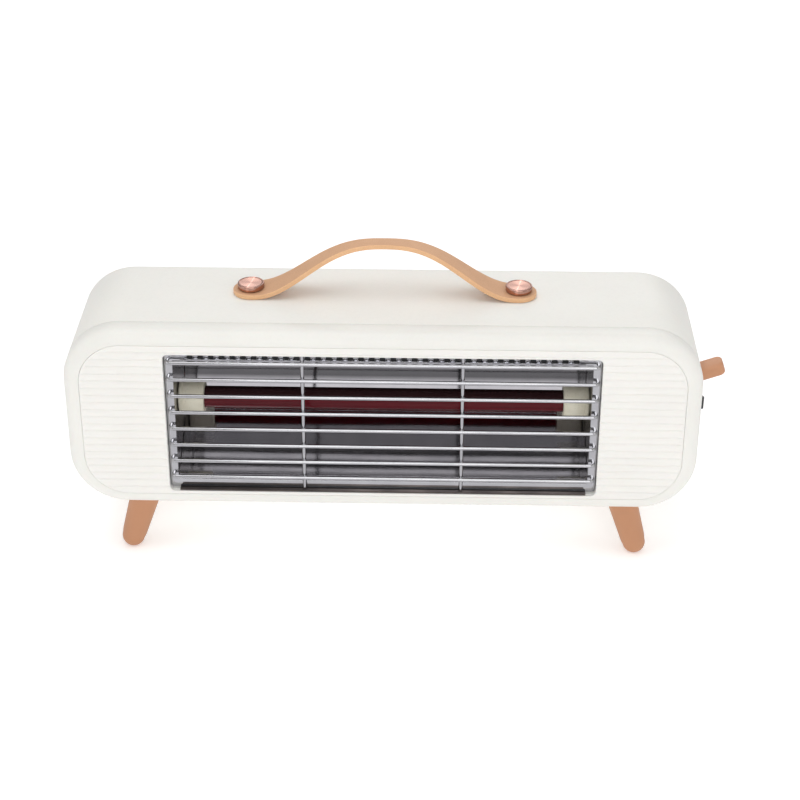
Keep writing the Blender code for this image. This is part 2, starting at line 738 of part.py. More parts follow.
def build_handle_fixing(side, sign):
    """A round dished cap with its stud, and the nut that holds it inside the casing."""
    seat = STRAP_THICK + 2 * GAP + 0.4 * MM
    top = seat + CAP_HEIGHT - 0.6 * MM
    tip = -9 * MM
    profile = [
        (0, top - 0.7 * MM),
        (CAP_RADIUS - 1.8 * MM, top - 0.25 * MM),
        (CAP_RADIUS - 1.2 * MM, top),
        (CAP_RADIUS - 0.6 * MM, top - 0.1 * MM),
        (CAP_RADIUS, top - 0.8 * MM),
        (CAP_RADIUS, seat + 0.4 * MM),
        (CAP_RADIUS - 0.4 * MM, seat),
        (STUD, seat),
        (STUD, tip + 0.6 * MM),
        (STUD - 0.6 * MM, tip),
        (0, tip),
    ]
    spot = Matrix.Translation((sign * RIVET_X, RIVET_Y, TOP))
    turned(f"handle_cap_{side}", profile, spot, "copper", 24)
    nut_top = TOP - WALL - GAP
    hexagon = circle(5 * MM, 6, (sign * RIVET_X, RIVET_Y))
    hole = circle(STUD + GAP, 16, (sign * RIVET_X, RIVET_Y))
    extrusion(f"handle_nut_{side}", [hexagon, hole], nut_top - 4 * MM, nut_top, FACING_Z, "zinc")


# ---------------------------------------------------------------- legs


def build_leg(end, way, side, sign, slab):
    """A tapered leg with a round tip, trimmed level under the casing and on the floor."""
    length = UNDERSIDE / (math.cos(LEG_SPLAY) * math.cos(LEG_RAKE))
    overrun = 8 * MM
    slope = (LEG_TOP_RADIUS - LEG_TIP_RADIUS) / length
    profile = [(0, overrun), (LEG_TOP_RADIUS + slope * overrun, overrun)]
    tip_center = -length + LEG_TIP_RADIUS - 0.3 * MM
    profile += arc((0, tip_center), LEG_TIP_RADIUS, 0, -90, 6)
    profile[-1] = (0, profile[-1][1])
    lean = Vector((sign * math.tan(LEG_SPLAY), way * math.tan(LEG_RAKE), -1)).normalized()
    turn = (-lean).to_track_quat("Z", "Y").to_matrix().to_4x4()
    spot = Vector((sign * LEG_X, way * LEG_Y, UNDERSIDE))
    name = f"leg_{end}_{side}"
    leg = turned(name, profile, Matrix.Translation(spot) @ turn, "tan", 22)
    combine(leg, slab, "INTERSECT")
    low = spot - Vector((0, 0, 15 * MM))
    cut(leg, rod(f"leg_bore_{end}_{side}", LEG_SCREW + GAP, low, spot + Vector((0, 0, WALL))))
    head = [(0, 2.6 * MM), (2.4 * MM, 2.6 * MM), (3.8 * MM, 1.4 * MM), (3.8 * MM, 0), (LEG_SCREW, 0)]
    shaft_end = -(WALL + GAP + 13 * MM)
    head += [(LEG_SCREW, shaft_end + 1 * MM), (0, shaft_end)]
    screw_spot = Matrix.Translation(spot + Vector((0, 0, WALL + GAP)))
    turned(f"leg_screw_{end}_{side}", head, screw_spot, "zinc", 14)


def build_legs():
    slab = box("leg_slab", (-BODY_WIDTH, -BODY_DEPTH, 0), (BODY_WIDTH, BODY_DEPTH, UNDERSIDE - GAP))
    for end, way in ENDS.items():
        for side, sign in SIDES.items():
            build_leg(end, way, side, sign, slab)


# ---------------------------------------------------------------- controls


def build_side_lever():
    """A paddle on a round hub, drawn level and then tilted up about the hub's pin."""
    reach = (LEVER_REACH - LEVER_PIVOT.x) / math.cos(LEVER_TILT) - 0.5 * MM
    half = LEVER_DEPTH / 2
    paddle_plan = [(0, -half)] + arc((reach - 4 * MM, -half + 4 * MM), 4 * MM, -90, 0, 5)
    paddle_plan += arc((reach - 4 * MM, half - 4 * MM), 4 * MM, 0, 90, 5) + [(0, half)]
    lever = extrusion("side_lever", [paddle_plan], -LEVER_THICK / 2, LEVER_THICK / 2, FACING_Z, "tan")
    soften(lever, 1.2 * MM, 3)
    hub = rod("lever_hub", LEVER_HUB, (0, -LEVER_HUB_HALF, 0), (0, LEVER_HUB_HALF, 0), sides=28)
    bore = rod("lever_bore", LEVER_PIN + GAP, (0, -2 * half, 0), (0, 2 * half, 0))
    lever.location = LEVER_PIVOT
    lever.rotation_euler = (0, -LEVER_TILT, 0)
    for helper in (hub, bore):
        helper.location = LEVER_PIVOT
    join(lever, hub)
    cut(lever, bore)


def build_lever_bracket():
    """A U-shaped bracket inside the wall, with the pin across its two cheeks."""
    x, y, z = LEVER_PIVOT
    inner = LEVER_HUB_HALF + 0.6 * MM
    outer = inner + 1.6 * MM
    back = x - LEVER_HUB - 1.5 * MM
    front = HALF_WIDTH - WALL - GAP
    plan = [(back - 2 * MM, y - outer), (front, y - outer), (front, y - inner), (back, y - inner)]
    plan += [(back, y + inner), (front, y + inner), (front, y + outer), (back - 2 * MM, y + outer)]
    bracket = extrusion("lever_bracket", [plan], z - 6.5 * MM, z + 6.5 * MM, FACING_Z, "zinc")
    ends = [(x, y - 2 * outer, z), (x, y + 2 * outer, z)]
    cut(bracket, rod("lever_pin_hole", LEVER_PIN + GAP, *ends))
    rod("lever_pin", LEVER_PIN, (x, y - outer - 1 * MM, z), (x, y + outer + 1 * MM, z), "zinc", 14)


def build_rocker():
    """A see-saw button in a framed housing; at rest its front end stands out."""
    pivot = ROCKER_PIVOT
    body = rounded_rectangle(9.5 * MM, 5.7 * MM, 0.8 * MM, 2, pivot.yz)
    flange = rounded_rectangle(10.5 * MM, 6.6 * MM, 1.2 * MM, 3, pivot.yz)
    pocket = rounded_rectangle(8.6 * MM, ROCKER_HALF_HEIGHT + 0.35 * MM, 0.4 * MM, 1, pivot.yz)
    back = 186 * MM
    face = HALF_WIDTH + GAP
    rim = 1.2 * MM
    housing = extrusion("rocker_housing", [body], back, face + rim / 2, FACING_X, "black")
    join(housing, extrusion("rocker_flange", [flange], face, face + rim, FACING_X))
    cut(housing, extrusion("rocker_pocket", [pocket], back + 2 * MM, face + 2 * rim, FACING_X))
    ends = [pivot - Vector((0, 0, 5.3 * MM)), pivot + Vector((0, 0, 5.3 * MM))]
    pin_x = Vector((-2.4 * MM, 0, 0))
    hole = rod("rocker_pin_hole", ROCKER_PIN + GAP, ends[0] + pin_x, ends[1] + pin_x, sides=12)
    cut(housing, hole)
    rod("rocker_pin", ROCKER_PIN, ends[0] + pin_x, ends[1] + pin_x, "zinc", 12)
    length = ROCKER_HALF_LENGTH
    side_view = [(2.8 * MM, 0), (4.4 * MM, length - 0.6 * MM), (4 * MM, length), (-0.6 * MM, length)]
    side_view += [(-4 * MM, 3 * MM), (-4 * MM, -3 * MM), (-0.6 * MM, -length), (4 * MM, -length)]
    side_view += [(4.4 * MM, -length + 0.6 * MM)]
    height = ROCKER_HALF_HEIGHT
    rocker = extrusion("power_rocker", [side_view], -height, height, FACING_Z, "black")
    hang_from(rocker, pin_x)
    rocker.location = pivot + pin_x
    rocker.rotation_euler = (0, 0, ROCKER_TILT)
    bore = rod("rocker_bore", ROCKER_PIN + GAP, ends[0] + pin_x, ends[1] + pin_x, sides=12)
    cut(rocker, bore)


# ---------------------------------------------------------------- parts inside


def build_tip_switch():
    """A pendulum in a U-shaped housing: it swings and opens the circuit when the heater tips."""
    x, y, z = TIP_PIVOT
    inner, outer = 5 * MM, 6.6 * MM
    low = FLOOR_INSIDE + GAP
    high = z + 6 * MM
    plan = [(x - outer, low), (x + outer, low), (x + outer, high), (x + inner, high)]
    plan += [(x + inner, low + 2 * MM), (x - inner, low + 2 * MM), (x - inner, high), (x - outer, high)]
    housing = extrusion("tip_switch_housing", [plan], y - 14 * MM, y + 14 * MM, FACING_Y, "black")
    pin_radius = 1.2 * MM
    hole = rod("tip_pin_hole", pin_radius + GAP, (x - 2 * outer, y, z), (x + 2 * outer, y, z))
    cut(housing, hole)
    rod("tip_pin", pin_radius, (x - outer - 1 * MM, y, z), (x + outer + 1 * MM, y, z), "zinc", 12)
    arm_half = 3 * MM
    arm = box("tip_pendulum", (-arm_half, -2.4 * MM, -TIP_ARM), (arm_half, 2.4 * MM, 3.4 * MM), "zinc")
    weight = rod("tip_weight", 6 * MM, (-4.2 * MM, 0, -TIP_ARM), (4.2 * MM, 0, -TIP_ARM), sides=20)
    weight.location = TIP_PIVOT
    arm.location = TIP_PIVOT
    join(arm, weight)
    cut(arm, rod("tip_bore", pin_radius + GAP, (x - 2 * inner, y, z), (x + 2 * inner, y, z)))


def build_thermal_parts():
    """A snap thermostat on the end plate's side, and a fuse on the shield's back."""
    y, z = 4 * MM, MIDDLE + 22 * MM
    foot = REFLECTOR_HALF_LENGTH + END_SHEET + 2 * GAP
    profile = [(0, 11 * MM), (5 * MM, 11 * MM), (5 * MM, 6 * MM), (8 * MM, 5 * MM), (8 * MM, 0), (0, 0)]
    placement = Matrix.Translation((-foot, y, z)) @ Matrix.Rotation(-math.pi / 2, 4, "Y")
    turned("thermostat", profile, placement, "black", 20)
    fuse_y = 22 * MM + 0.8 * MM + GAP + 2.5 * MM
    ends = [(-12 * MM, fuse_y, MIDDLE + 30 * MM), (12 * MM, fuse_y, MIDDLE + 30 * MM)]
    fuse = rod("thermal_fuse", 2.4 * MM, *ends, "ceramic", 14)
    tail = rod("fuse_tails", 0.6 * MM, (-26 * MM, *ends[0][1:]), (26 * MM, *ends[0][1:]), sides=8)
    join(fuse, tail)


def build_terminal_block():
    """A two-way block with open screw wells, standing on the casing's floor."""
    x, y = -120 * MM, 34 * MM
    low = FLOOR_INSIDE + GAP
    corners = [(x - 12 * MM, y - 7 * MM, low), (x + 12 * MM, y + 7 * MM, low + 10 * MM)]
    block = box("terminal_block", *corners, "black")
    for side, sign in SIDES.items():
        well_x = x + sign * 6 * MM
        ends = [(well_x, y, low + 5 * MM), (well_x, y, low + 14 * MM)]
        cut(block, rod(f"terminal_well_{side}", 2.6 * MM, *ends))
    soften(block, 0.6 * MM, 1)


def build_leads():
    """Three insulated leads: two from the element and one to the power switch."""
    left = [(-144, -16.7, 0), (-149, 4, -2), (-140, 31, -17), (-126, 34, -43)]
    right = [(144, -16.7, 0), (153, -8, -4), (168, -4, -7), (184, -1, -8)]
    across = [(-114, 34, -43), (-60, 40, -53), (60, 40, -53), (150, 34, -47), (172, 13, -17), (184, 7, -8)]
    for name, route in {"left": left, "right": right, "switch": across}.items():
        points = [Vector((x, y, z)) * MM + Vector((0, 0, MIDDLE)) for x, y, z in route]
        tube(f"lead_wire_{name}", points, 2.4 * MM, "lead", 1, smooth=True)


def shade_parts():
    """Rounds the shading and keeps the true edges sharp."""
    for obj in PARTS.objects:
        if obj.type != "MESH":
            continue
        obj.data.shade_smooth()
        obj.data.set_sharp_from_angle(angle=math.radians(35))


def main():
    build_rear_shell()
    build_front_frame()
    build_front_panel()
    build_back_cover()
    build_cord_gland()
    build_wire_grille()
    build_grille_frame()
    build_reflector()
    build_heat_shield()
    build_quartz_tube()
    build_filament()
    for side, sign in SIDES.items():
        build_holder(side, sign)
        build_holder_bracket(side, sign)
        build_handle_fixing(side, sign)
    build_strap()
    build_legs()
    build_side_lever()
    build_lever_bracket()
    build_rocker()
    build_tip_switch()
    build_thermal_parts()
    build_terminal_block()
    build_leads()
    shade_parts()


if __name__ == "__main__":
    main()
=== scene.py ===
"""Looks for a countertop infrared heater: finer shells, wires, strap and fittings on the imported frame."""

import json
import logging
import math
from dataclasses import dataclass
from enum import Enum
from typing import Iterable, Optional, Sequence

import bmesh
import bpy
from bmesh.types import BMVert, BMesh
from bpy.types import Curve, Material, Mesh, Node, NodeOutputs, NodeSocket, NodeTree, Object
from mathutils import Matrix, Vector, noise

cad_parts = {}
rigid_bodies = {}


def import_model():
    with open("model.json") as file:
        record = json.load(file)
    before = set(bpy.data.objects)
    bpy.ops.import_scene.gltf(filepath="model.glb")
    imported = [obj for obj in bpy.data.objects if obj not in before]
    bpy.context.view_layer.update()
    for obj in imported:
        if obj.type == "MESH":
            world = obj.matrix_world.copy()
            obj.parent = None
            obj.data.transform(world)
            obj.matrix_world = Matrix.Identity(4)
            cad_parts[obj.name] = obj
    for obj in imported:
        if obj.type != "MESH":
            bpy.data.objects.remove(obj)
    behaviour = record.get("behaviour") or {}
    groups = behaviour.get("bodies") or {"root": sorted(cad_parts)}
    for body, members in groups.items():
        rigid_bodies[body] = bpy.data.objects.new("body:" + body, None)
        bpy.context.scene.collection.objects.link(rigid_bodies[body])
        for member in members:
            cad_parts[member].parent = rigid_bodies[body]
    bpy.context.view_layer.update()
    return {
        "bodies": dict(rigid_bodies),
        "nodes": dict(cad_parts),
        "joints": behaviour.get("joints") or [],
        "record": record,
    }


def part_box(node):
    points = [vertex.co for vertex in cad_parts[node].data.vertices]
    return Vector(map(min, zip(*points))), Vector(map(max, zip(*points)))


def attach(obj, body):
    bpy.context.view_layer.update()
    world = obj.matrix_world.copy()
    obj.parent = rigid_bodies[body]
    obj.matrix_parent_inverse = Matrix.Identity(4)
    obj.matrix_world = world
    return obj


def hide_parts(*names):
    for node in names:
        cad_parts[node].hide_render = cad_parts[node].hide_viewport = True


LOG = logging.getLogger("heater")
MM = 0.001
Point = tuple[float, float]
Colour = tuple[float, float, float]


class Facing(Enum):
    """The axis along which a flat outline is thickened."""

    X = Matrix(((0, 0, 1), (1, 0, 0), (0, 1, 0)))
    Y = Matrix(((1, 0, 0), (0, 0, -1), (0, 1, 0)))
    Z = Matrix.Identity(3)


class Body(Enum):
    """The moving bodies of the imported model."""

    CASING = "casing"
    LEVER = "side_lever"
    ROCKER = "power_rocker"
    PENDULUM = "tip_pendulum"


class Side(Enum):
    """The two ends of the heater, with their way along X."""

    LEFT = -1
    RIGHT = 1

    @property
    def word(self) -> str:
        """The side's name as the pieces use it."""
        return self.name.lower()


class Socket(Enum):
    """The kinds of socket on a node group."""

    NUMBER = "NodeSocketFloat"
    COLOUR = "NodeSocketColor"
    VECTOR = "NodeSocketVector"


# ---- datum


@dataclass(frozen=True)
class Datum:
    """Where the casing stands in the row frame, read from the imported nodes."""

    middle_x: float
    middle_z: float
    front: float
    rear: float
    top: float
    underside: float

    @classmethod
    def from_frame(cls) -> "Datum":
        """Reads the casing's faces from the boxes of its two halves."""
        front_low, front_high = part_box("front_frame")
        rear_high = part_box("rear_shell")[1]
        return cls(
            middle_x=(front_low.x + front_high.x) / 2,
            middle_z=(front_low.z + front_high.z) / 2,
            front=front_low.y,
            rear=rear_high.y,
            top=front_high.z,
            underside=front_low.z,
        )

    def shift(self) -> Matrix:
        """The move from the casing's own frame to the row frame."""
        return Matrix.Translation((self.middle_x, 0, 0))


# ---- outlines


def arc(center: Point, radius: float, start: float, end: float, steps: int) -> list[Point]:
    """Points on a circle.

    Args:
        center: The circle's middle.
        radius: Its radius in metres.
        start: The first angle in degrees.
        end: The last angle in degrees.
        steps: How many equal parts the arc has.

    Returns:
        steps + 1 points from start to end.
    """
    turns = [math.radians(start + (end - start) * i / steps) for i in range(steps + 1)]
    return [(center[0] + radius * math.cos(a), center[1] + radius * math.sin(a)) for a in turns]


def rounded_rectangle(
    half_x: float, half_y: float, radius: float, steps: int = 16, center: Point = (0, 0)
) -> list[Point]:
    """A rectangle with round corners, anticlockwise from its right-hand side.

    Args:
        half_x: Half the width.
        half_y: Half the height.
        radius: The corner radius.
        steps: Parts in each corner.
        center: The rectangle's middle.

    Returns:
        The outline's points, with 4 * (steps + 1) of them.
    """
    points: list[Point] = []
    for start, way_x, way_y in ((0, 1, 1), (90, -1, 1), (180, -1, -1), (270, 1, -1)):
        corner = (center[0] + way_x * (half_x - radius), center[1] + way_y * (half_y - radius))
        points += arc(corner, radius, start, start + 90, steps)
    return points


def circle(radius: float, steps: int = 32, center: Point = (0, 0)) -> list[Point]:
    """A closed circle as points, without the repeated last one."""
    return arc(center, radius, 0, 360, steps)[:-1]


def millimetres(points: Iterable[Point]) -> list[Point]:
    """Points given in millimetres, as metres."""
    return [(first * MM, second * MM) for first, second in points]


def smooth_step(share: float) -> float:
    """Eases a share from 0 to 1."""
    share = min(max(share, 0.0), 1.0)
    return share * share * (3 - 2 * share)


def rounded_path(path: Sequence[Point], radius: float, steps: int) -> list[Point]:
    """An open path with its inner corners rounded.

    Args:
        path: The corner points.
        radius: The length cut back from each corner.
        steps: Parts in each rounded corner.

    Returns:
        The smoother path.
    """
    points = [path[0]]
    for before, here, after in zip(path, path[1:], path[2:]):
        corner = Vector(here)
        start = corner + (Vector(before) - corner).normalized() * radius
        end = corner + (Vector(after) - corner).normalized() * radius
        for i in range(steps + 1):
            t = i / steps
            bend = start * (1 - t) ** 2 + corner * 2 * t * (1 - t) + end * t**2
            points.append((bend.x, bend.y))
    return points + [path[-1]]


# ---- workshop


@dataclass
class Workshop:
    """Makes meshes in the casing's own frame and puts them in the row frame."""

    datum: Datum

    def piece(self, name: str, mesh: Mesh, origin: Optional[Vector] = None) -> Object:
        """Makes an object of a mesh that was drawn in the casing's frame.

        Args:
            name: The piece's name.
            mesh: Its mesh.
            origin: The point in the casing's frame that becomes the piece's own origin.

        Returns:
            The object, linked and in place.
        """
        mesh.name = name
        obj = bpy.data.objects.new(name, mesh)
        bpy.context.scene.collection.objects.link(obj)
        spot = Vector(origin) if origin else Vector()
        mesh.transform(Matrix.Translation(-spot))
        obj.matrix_world = self.datum.shift() @ Matrix.Translation(spot)
        return obj

    def from_bmesh(self, name: str, shape: BMesh, **where: Vector) -> Object:
        """Turns a finished bmesh into a piece, with its normals outwards."""
        bmesh.ops.recalc_face_normals(shape, faces=shape.faces)
        mesh = bpy.data.meshes.new(name)
        shape.to_mesh(mesh)
        shape.free()
        return self.piece(name, mesh, where.get("origin"))

    def loft(
        self, name: str, rings: Sequence[Sequence[Vector]], closed: bool = False, **where: Vector
    ) -> Object:
        """Skins closed rings that all have the same number of points.

        Args:
            name: The piece's name.
            rings: The rings, in order.
            closed: Whether the last ring joins the first; otherwise both ends are capped.
            where: The piece's origin, if it isn't the casing's.

        Returns:
            The piece.
        """
        shape = bmesh.new()
        loops = [[shape.verts.new(point) for point in ring] for ring in rings]
        pairs = list(zip(loops, loops[1:]))
        if closed:
            pairs.append((loops[-1], loops[0]))
        else:
            shape.faces.new(loops[0])
            shape.faces.new(list(reversed(loops[-1])))
        for first, second in pairs:
            count = len(first)
            for i in range(count):
                j = (i + 1) % count
                shape.faces.new((first[i], first[j], second[j], second[i]))
        return self.from_bmesh(name, shape, **where)

    def lathe(
        self,
        name: str,
        profile: Sequence[Point],
        placement: Matrix,
        steps: int = 64,
        **where: Vector,
    ) -> Object:
        """Spins a profile of (radius, height) points about its own Z.

        Args:
            name: The piece's name.
            profile: Points from top to bottom; one that ends off the axis is closed as a ring.
            placement: Where the profile's own Z stands in the casing's frame.
            steps: Parts in the full turn.
            where: The piece's origin, if it isn't the casing's.

        Returns:
            The piece.
        """
        shape = bmesh.new()
        loops = []
        for radius, height in profile:
            if radius < 1e-7:
                loops.append([shape.verts.new((0, 0, height))])
                continue
            loops.append([shape.verts.new((x, y, height)) for x, y in circle(radius, steps)])
        pairs = list(zip(loops, loops[1:]))
        if profile[0][0] > 1e-7 and profile[-1][0] > 1e-7:
            pairs.append((loops[-1], loops[0]))
        for first, second in pairs:
            for i in range(steps):
                j = (i + 1) % steps
                corners = [first[i % len(first)], first[j % len(first)]]
                corners += [second[j % len(second)], second[i % len(second)]]
                shape.faces.new(list(dict.fromkeys(corners)))
        bmesh.ops.transform(shape, matrix=placement, verts=shape.verts)
        return self.from_bmesh(name, shape, **where)

    def plate(
        self,
        name: str,
        outlines: Iterable[Sequence[Point]],
        low: float,
        high: float,
        facing: Facing,
        edge: float = 0.0,
        **where: Vector,
    ) -> Object:
        """Thickens flat outlines, with every rim rounded; inner outlines are holes.

        Args:
            name: The piece's name.
            outlines: Closed outlines; the ones inside others are holes.
            low: Where the plate starts along its axis.
            high: Where it ends.
            facing: The axis it faces.
            edge: The rim radius.
            where: The piece's origin, if it isn't the casing's.

        Returns:
            The piece.
        """
        curve = bpy.data.curves.new(name, "CURVE")
        curve.dimensions = "2D"
        curve.fill_mode = "BOTH"
        curve.extrude = (high - low) / 2 - edge
        curve.bevel_depth = edge
        curve.bevel_resolution = 2
        curve.offset = -edge
        for outline in outlines:
            self._spline(curve, [(x, y, 0) for x, y in outline], True)
        mesh = self._mesh_of(curve)
        middle = facing.value @ Vector((0, 0, 1)) * (high + low) / 2
        if facing is Facing.Y:
            middle = -middle
        mesh.transform(Matrix.Translation(middle) @ facing.value.to_4x4())
        return self.piece(name, mesh, where.get("origin"))

    def wire(self, name: str, points: Sequence[Sequence[float]], radius: float) -> Object:
        """A round wire with closed ends along points."""
        curve = bpy.data.curves.new(name, "CURVE")
        curve.dimensions = "3D"
        curve.bevel_depth = radius
        curve.bevel_resolution = 5
        curve.use_fill_caps = True
        self._spline(curve, points, False)
        return self.piece(name, self._mesh_of(curve))

    def ring(
        self, half_x: float, half_z: float, radius: float, y: float, steps: int = 24, drop: float = 0.0
    ) -> list[Vector]:
        """A rounded rectangle standing across Y, for a loft.

        Args:
            half_x: Half its width.
            half_z: Half its height.
            radius: Its corner radius.
            y: Where it stands.
            steps: Parts in each corner.
            drop: How far its middle lies below the casing's.

        Returns:
            Its points.
        """
        center = (0, self.datum.middle_z - drop)
        return [Vector((x, y, z)) for x, z in rounded_rectangle(half_x, half_z, radius, steps, center)]

    def drill(
        self, obj: Object, placement: Matrix, radius: float, reach: Point, steps: int = 24
    ) -> None:
        """Cuts a round hole in a piece.

        Args:
            obj: The piece.
            placement: Where the hole's own Z stands in the casing's frame.
            radius: The hole's radius.
            reach: The hole's upper and lower end along its own Z.
            steps: Parts in the full turn.
        """
        high, low = reach
        tool = self.lathe("drill", [(0, high), (radius, high), (radius, low), (0, low)], placement, steps)
        self.carve(obj, [tool], "DIFFERENCE")

    @staticmethod
    def _spline(curve: Curve, points: Sequence[Sequence[float]], closed: bool) -> None:
        """Adds one straight-sided spline to a curve."""
        spline = curve.splines.new("POLY")
        spline.points.add(len(points) - 1)
        for target, point in zip(spline.points, points):
            target.co = (*point, 1)
        spline.use_cyclic_u = closed

    @staticmethod
    def _mesh_of(curve: Curve) -> Mesh:
        """The welded mesh of a curve."""
        helper = bpy.data.objects.new("helper", curve)
        bpy.context.scene.collection.objects.link(helper)
        graph = bpy.context.evaluated_depsgraph_get()
        mesh = bpy.data.meshes.new_from_object(helper.evaluated_get(graph))
        bpy.data.objects.remove(helper)
        shape = bmesh.new()
        shape.from_mesh(mesh)
        bmesh.ops.remove_doubles(shape, verts=shape.verts, dist=1e-6)
        bmesh.ops.recalc_face_normals(shape, faces=shape.faces)
        shape.to_mesh(mesh)
        shape.free()
        return mesh

    @staticmethod
    def carve(obj: Object, tools: Iterable[Object], operation: str) -> None:
        """Works a piece with others, which are used up.

        Args:
            obj: The piece.
            tools: The shapes that cut, join or trim it.
            operation: DIFFERENCE, UNION or INTERSECT.
        """
        for tool in tools:
            modifier = obj.modifiers.new(tool.name, "BOOLEAN")
            modifier.operation = operation
            modifier.solver = "EXACT"
            modifier.object = tool
            Workshop.settle(obj)
            bpy.data.objects.remove(tool)

    @staticmethod
    def settle(obj: Object) -> None:
        """Makes a piece's modifiers part of its mesh."""
        graph = bpy.context.evaluated_depsgraph_get()
        mesh = bpy.data.meshes.new_from_object(obj.evaluated_get(graph))
        obj.modifiers.clear()
        obj.data = mesh
        mesh.name = obj.name

    @staticmethod
    def gather(obj: Object, others: Iterable[Object]) -> None:
        """Puts the meshes of other pieces into one piece."""
        shape = bmesh.new()
        shape.from_mesh(obj.data)
        for other in others:
            mesh = other.data.copy()
            mesh.transform(obj.matrix_world.inverted() @ other.matrix_world)
            shape.from_mesh(mesh)
            bpy.data.objects.remove(other)
        shape.to_mesh(obj.data)
        shape.free()

    @staticmethod
    def soften(obj: Object, width: float, segments: int = 3, angle: float = 40) -> None:
        """Rounds the sharp edges of a piece.

        Args:
            obj: The piece.
            width: The width of the rounding.
            segments: Its parts.
            angle: The least angle, in degrees, that counts as sharp.
        """
        bevel = obj.modifiers.new("soft edges", "BEVEL")
        bevel.width = width
        bevel.segments = segments
        bevel.limit_method = "ANGLE"
        bevel.angle_limit = math.radians(angle)
        Workshop.settle(obj)

    @staticmethod
    def shade(obj: Object, angle: float = 35) -> None:
        """Smooth shading with sharp edges above an angle in degrees."""
        obj.data.shade_smooth()
        obj.data.set_sharp_from_angle(angle=math.radians(angle))


def dress(
    obj: Object,
    material: Material,
    body: Body,
    nodes: Sequence[str],
    angle: float = 35,
) -> Object:
    """Gives a finished piece its material and its place in the model.

    Args:
        obj: The piece.
        material: Its first material.
        body: The body that it rides on.
        nodes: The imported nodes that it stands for.
        angle: The angle, in degrees, above which an edge stays sharp.

    Returns:
        The same piece.
    """
    if not obj.data.materials:
        obj.data.materials.append(material)
    Workshop.shade(obj, angle)
    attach(obj, body.value)
    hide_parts(*nodes)
    LOG.info("%s: %d faces, for %s", obj.name, len(obj.data.polygons), ", ".join(nodes))
    return obj


# ---- shared effects


class Effect:
    """A shader node group with named inputs and outputs, built once."""

    def __init__(
        self, name: str, inputs: dict[str, tuple[Socket, object]], outputs: dict[str, Socket]
    ) -> None:
        """Makes the empty group.

        Args:
            name: The effect's name.
            inputs: Each input's kind and usual value.
            outputs: Each output's kind.
        """
        self.tree = bpy.data.node_groups.new(name, "ShaderNodeTree")
        for label, (kind, value) in inputs.items():
            socket = self.tree.interface.new_socket(label, in_out="INPUT", socket_type=kind.value)
            socket.default_value = value
        for label, kind in outputs.items():
            self.tree.interface.new_socket(label, in_out="OUTPUT", socket_type=kind.value)
        self.wall = Wiring(self.tree)
        self.source = self.wall.add("NodeGroupInput")
        self.target = self.wall.add("NodeGroupOutput")

    def take(self, label: str) -> NodeSocket:
        """The group's own input, as seen inside it."""
        return self.source.outputs[label]

    def give(self, label: str, socket: NodeSocket) -> None:
        """Sends a value out of the group."""
        self.tree.links.new(socket, self.target.inputs[label])


class Wiring:
    """Adds and joins nodes in one node tree."""

    def __init__(self, tree: NodeTree) -> None:
        """Keeps the tree."""
        self.tree = tree

    def add(
        self, kind: str, settings: Optional[dict[str, object]] = None, **values: object
    ) -> Node:
        """Adds a node.

        Args:
            kind: The node's type.
            settings: Its own properties.
            values: Its inputs by name, spaces written as underscores; a socket is linked.

        Returns:
            The node.
        """
        node = self.tree.nodes.new(kind)
        for key, value in (settings or {}).items():
            setattr(node, key, value)
        for key, value in values.items():
            self.feed(node.inputs[key.replace("_", " ")], value)
        return node

    def feed(self, socket: NodeSocket, value: object) -> None:
        """Links a socket, or sets its value."""
        if isinstance(value, NodeSocket):
            self.tree.links.new(value, socket)
        else:
            socket.default_value = value

    def math(
        self, operation: str, first: object, second: object = 0.0, clamp: bool = False
    ) -> NodeSocket:
        """A Math node's result."""
        node = self.add("ShaderNodeMath", {"operation": operation, "use_clamp": clamp})
        self.feed(node.inputs[0], first)
        self.feed(node.inputs[1], second)
        return node.outputs[0]

    def mix(self, share: object, first: object, second: object) -> NodeSocket:
        """A colour Mix node's result."""
        node = self.add("ShaderNodeMix", {"data_type": "RGBA"})
        self.feed(node.inputs["Factor"], share)
        self.feed(node.inputs["A"], first)
        self.feed(node.inputs["B"], second)
        return node.outputs["Result"]

    def spread(
        self, value: object, low: float, high: float, to_low: object, to_high: object
    ) -> NodeSocket:
        """A value stretched from one range to another, and held inside it."""
        node = self.add("ShaderNodeMapRange")
        for key, amount in (("Value", value), ("From Min", low), ("From Max", high)):
            self.feed(node.inputs[key], amount)
        self.feed(node.inputs["To Min"], to_low)
        self.feed(node.inputs["To Max"], to_high)
        return node.outputs["Result"]

    def noise(self, place: NodeSocket, scale: object, detail: float = 3.0) -> NodeSocket:
        """A noise texture's value."""
        return self.add("ShaderNodeTexNoise", Vector=place, Scale=scale, Detail=detail).outputs["Fac"]

    def place(self) -> NodeSocket:
        """Object coordinates."""
        return self.add("ShaderNodeTexCoord").outputs["Object"]

    def parts(self) -> NodeOutputs:
        """Object coordinates taken apart into X, Y and Z."""
        return self.add("ShaderNodeSeparateXYZ", Vector=self.place()).outputs

    def stretched(self, axes: Colour) -> NodeSocket:
        """Object coordinates scaled along each axis."""
        return self.add("ShaderNodeMapping", Vector=self.place(), Scale=axes).outputs["Vector"]

    def tones(self, effects: "Effects", colour: Colour, second: Colour, size: float) -> Node:
        """Two close tones in slow patches of one size."""
        return self.effect(effects.mottle, First=with_alpha(colour), Second=with_alpha(second), Size=size)

    def bump(self, shader: Node, strength: float, depth: float, height: object) -> None:
        """Gives a shader the small relief of a height value."""
        node = self.add("ShaderNodeBump", Strength=strength, Distance=depth, Height=height)
        self.feed(shader.inputs["Normal"], node.outputs["Normal"])

    def effect(self, effect: Effect, **values: object) -> Node:
        """Places a shared effect with its own values."""
        node = self.tree.nodes.new("ShaderNodeGroup")
        node.node_tree = effect.tree
        for key, value in values.items():
            self.feed(node.inputs[key.replace("_", " ")], value)
        return node


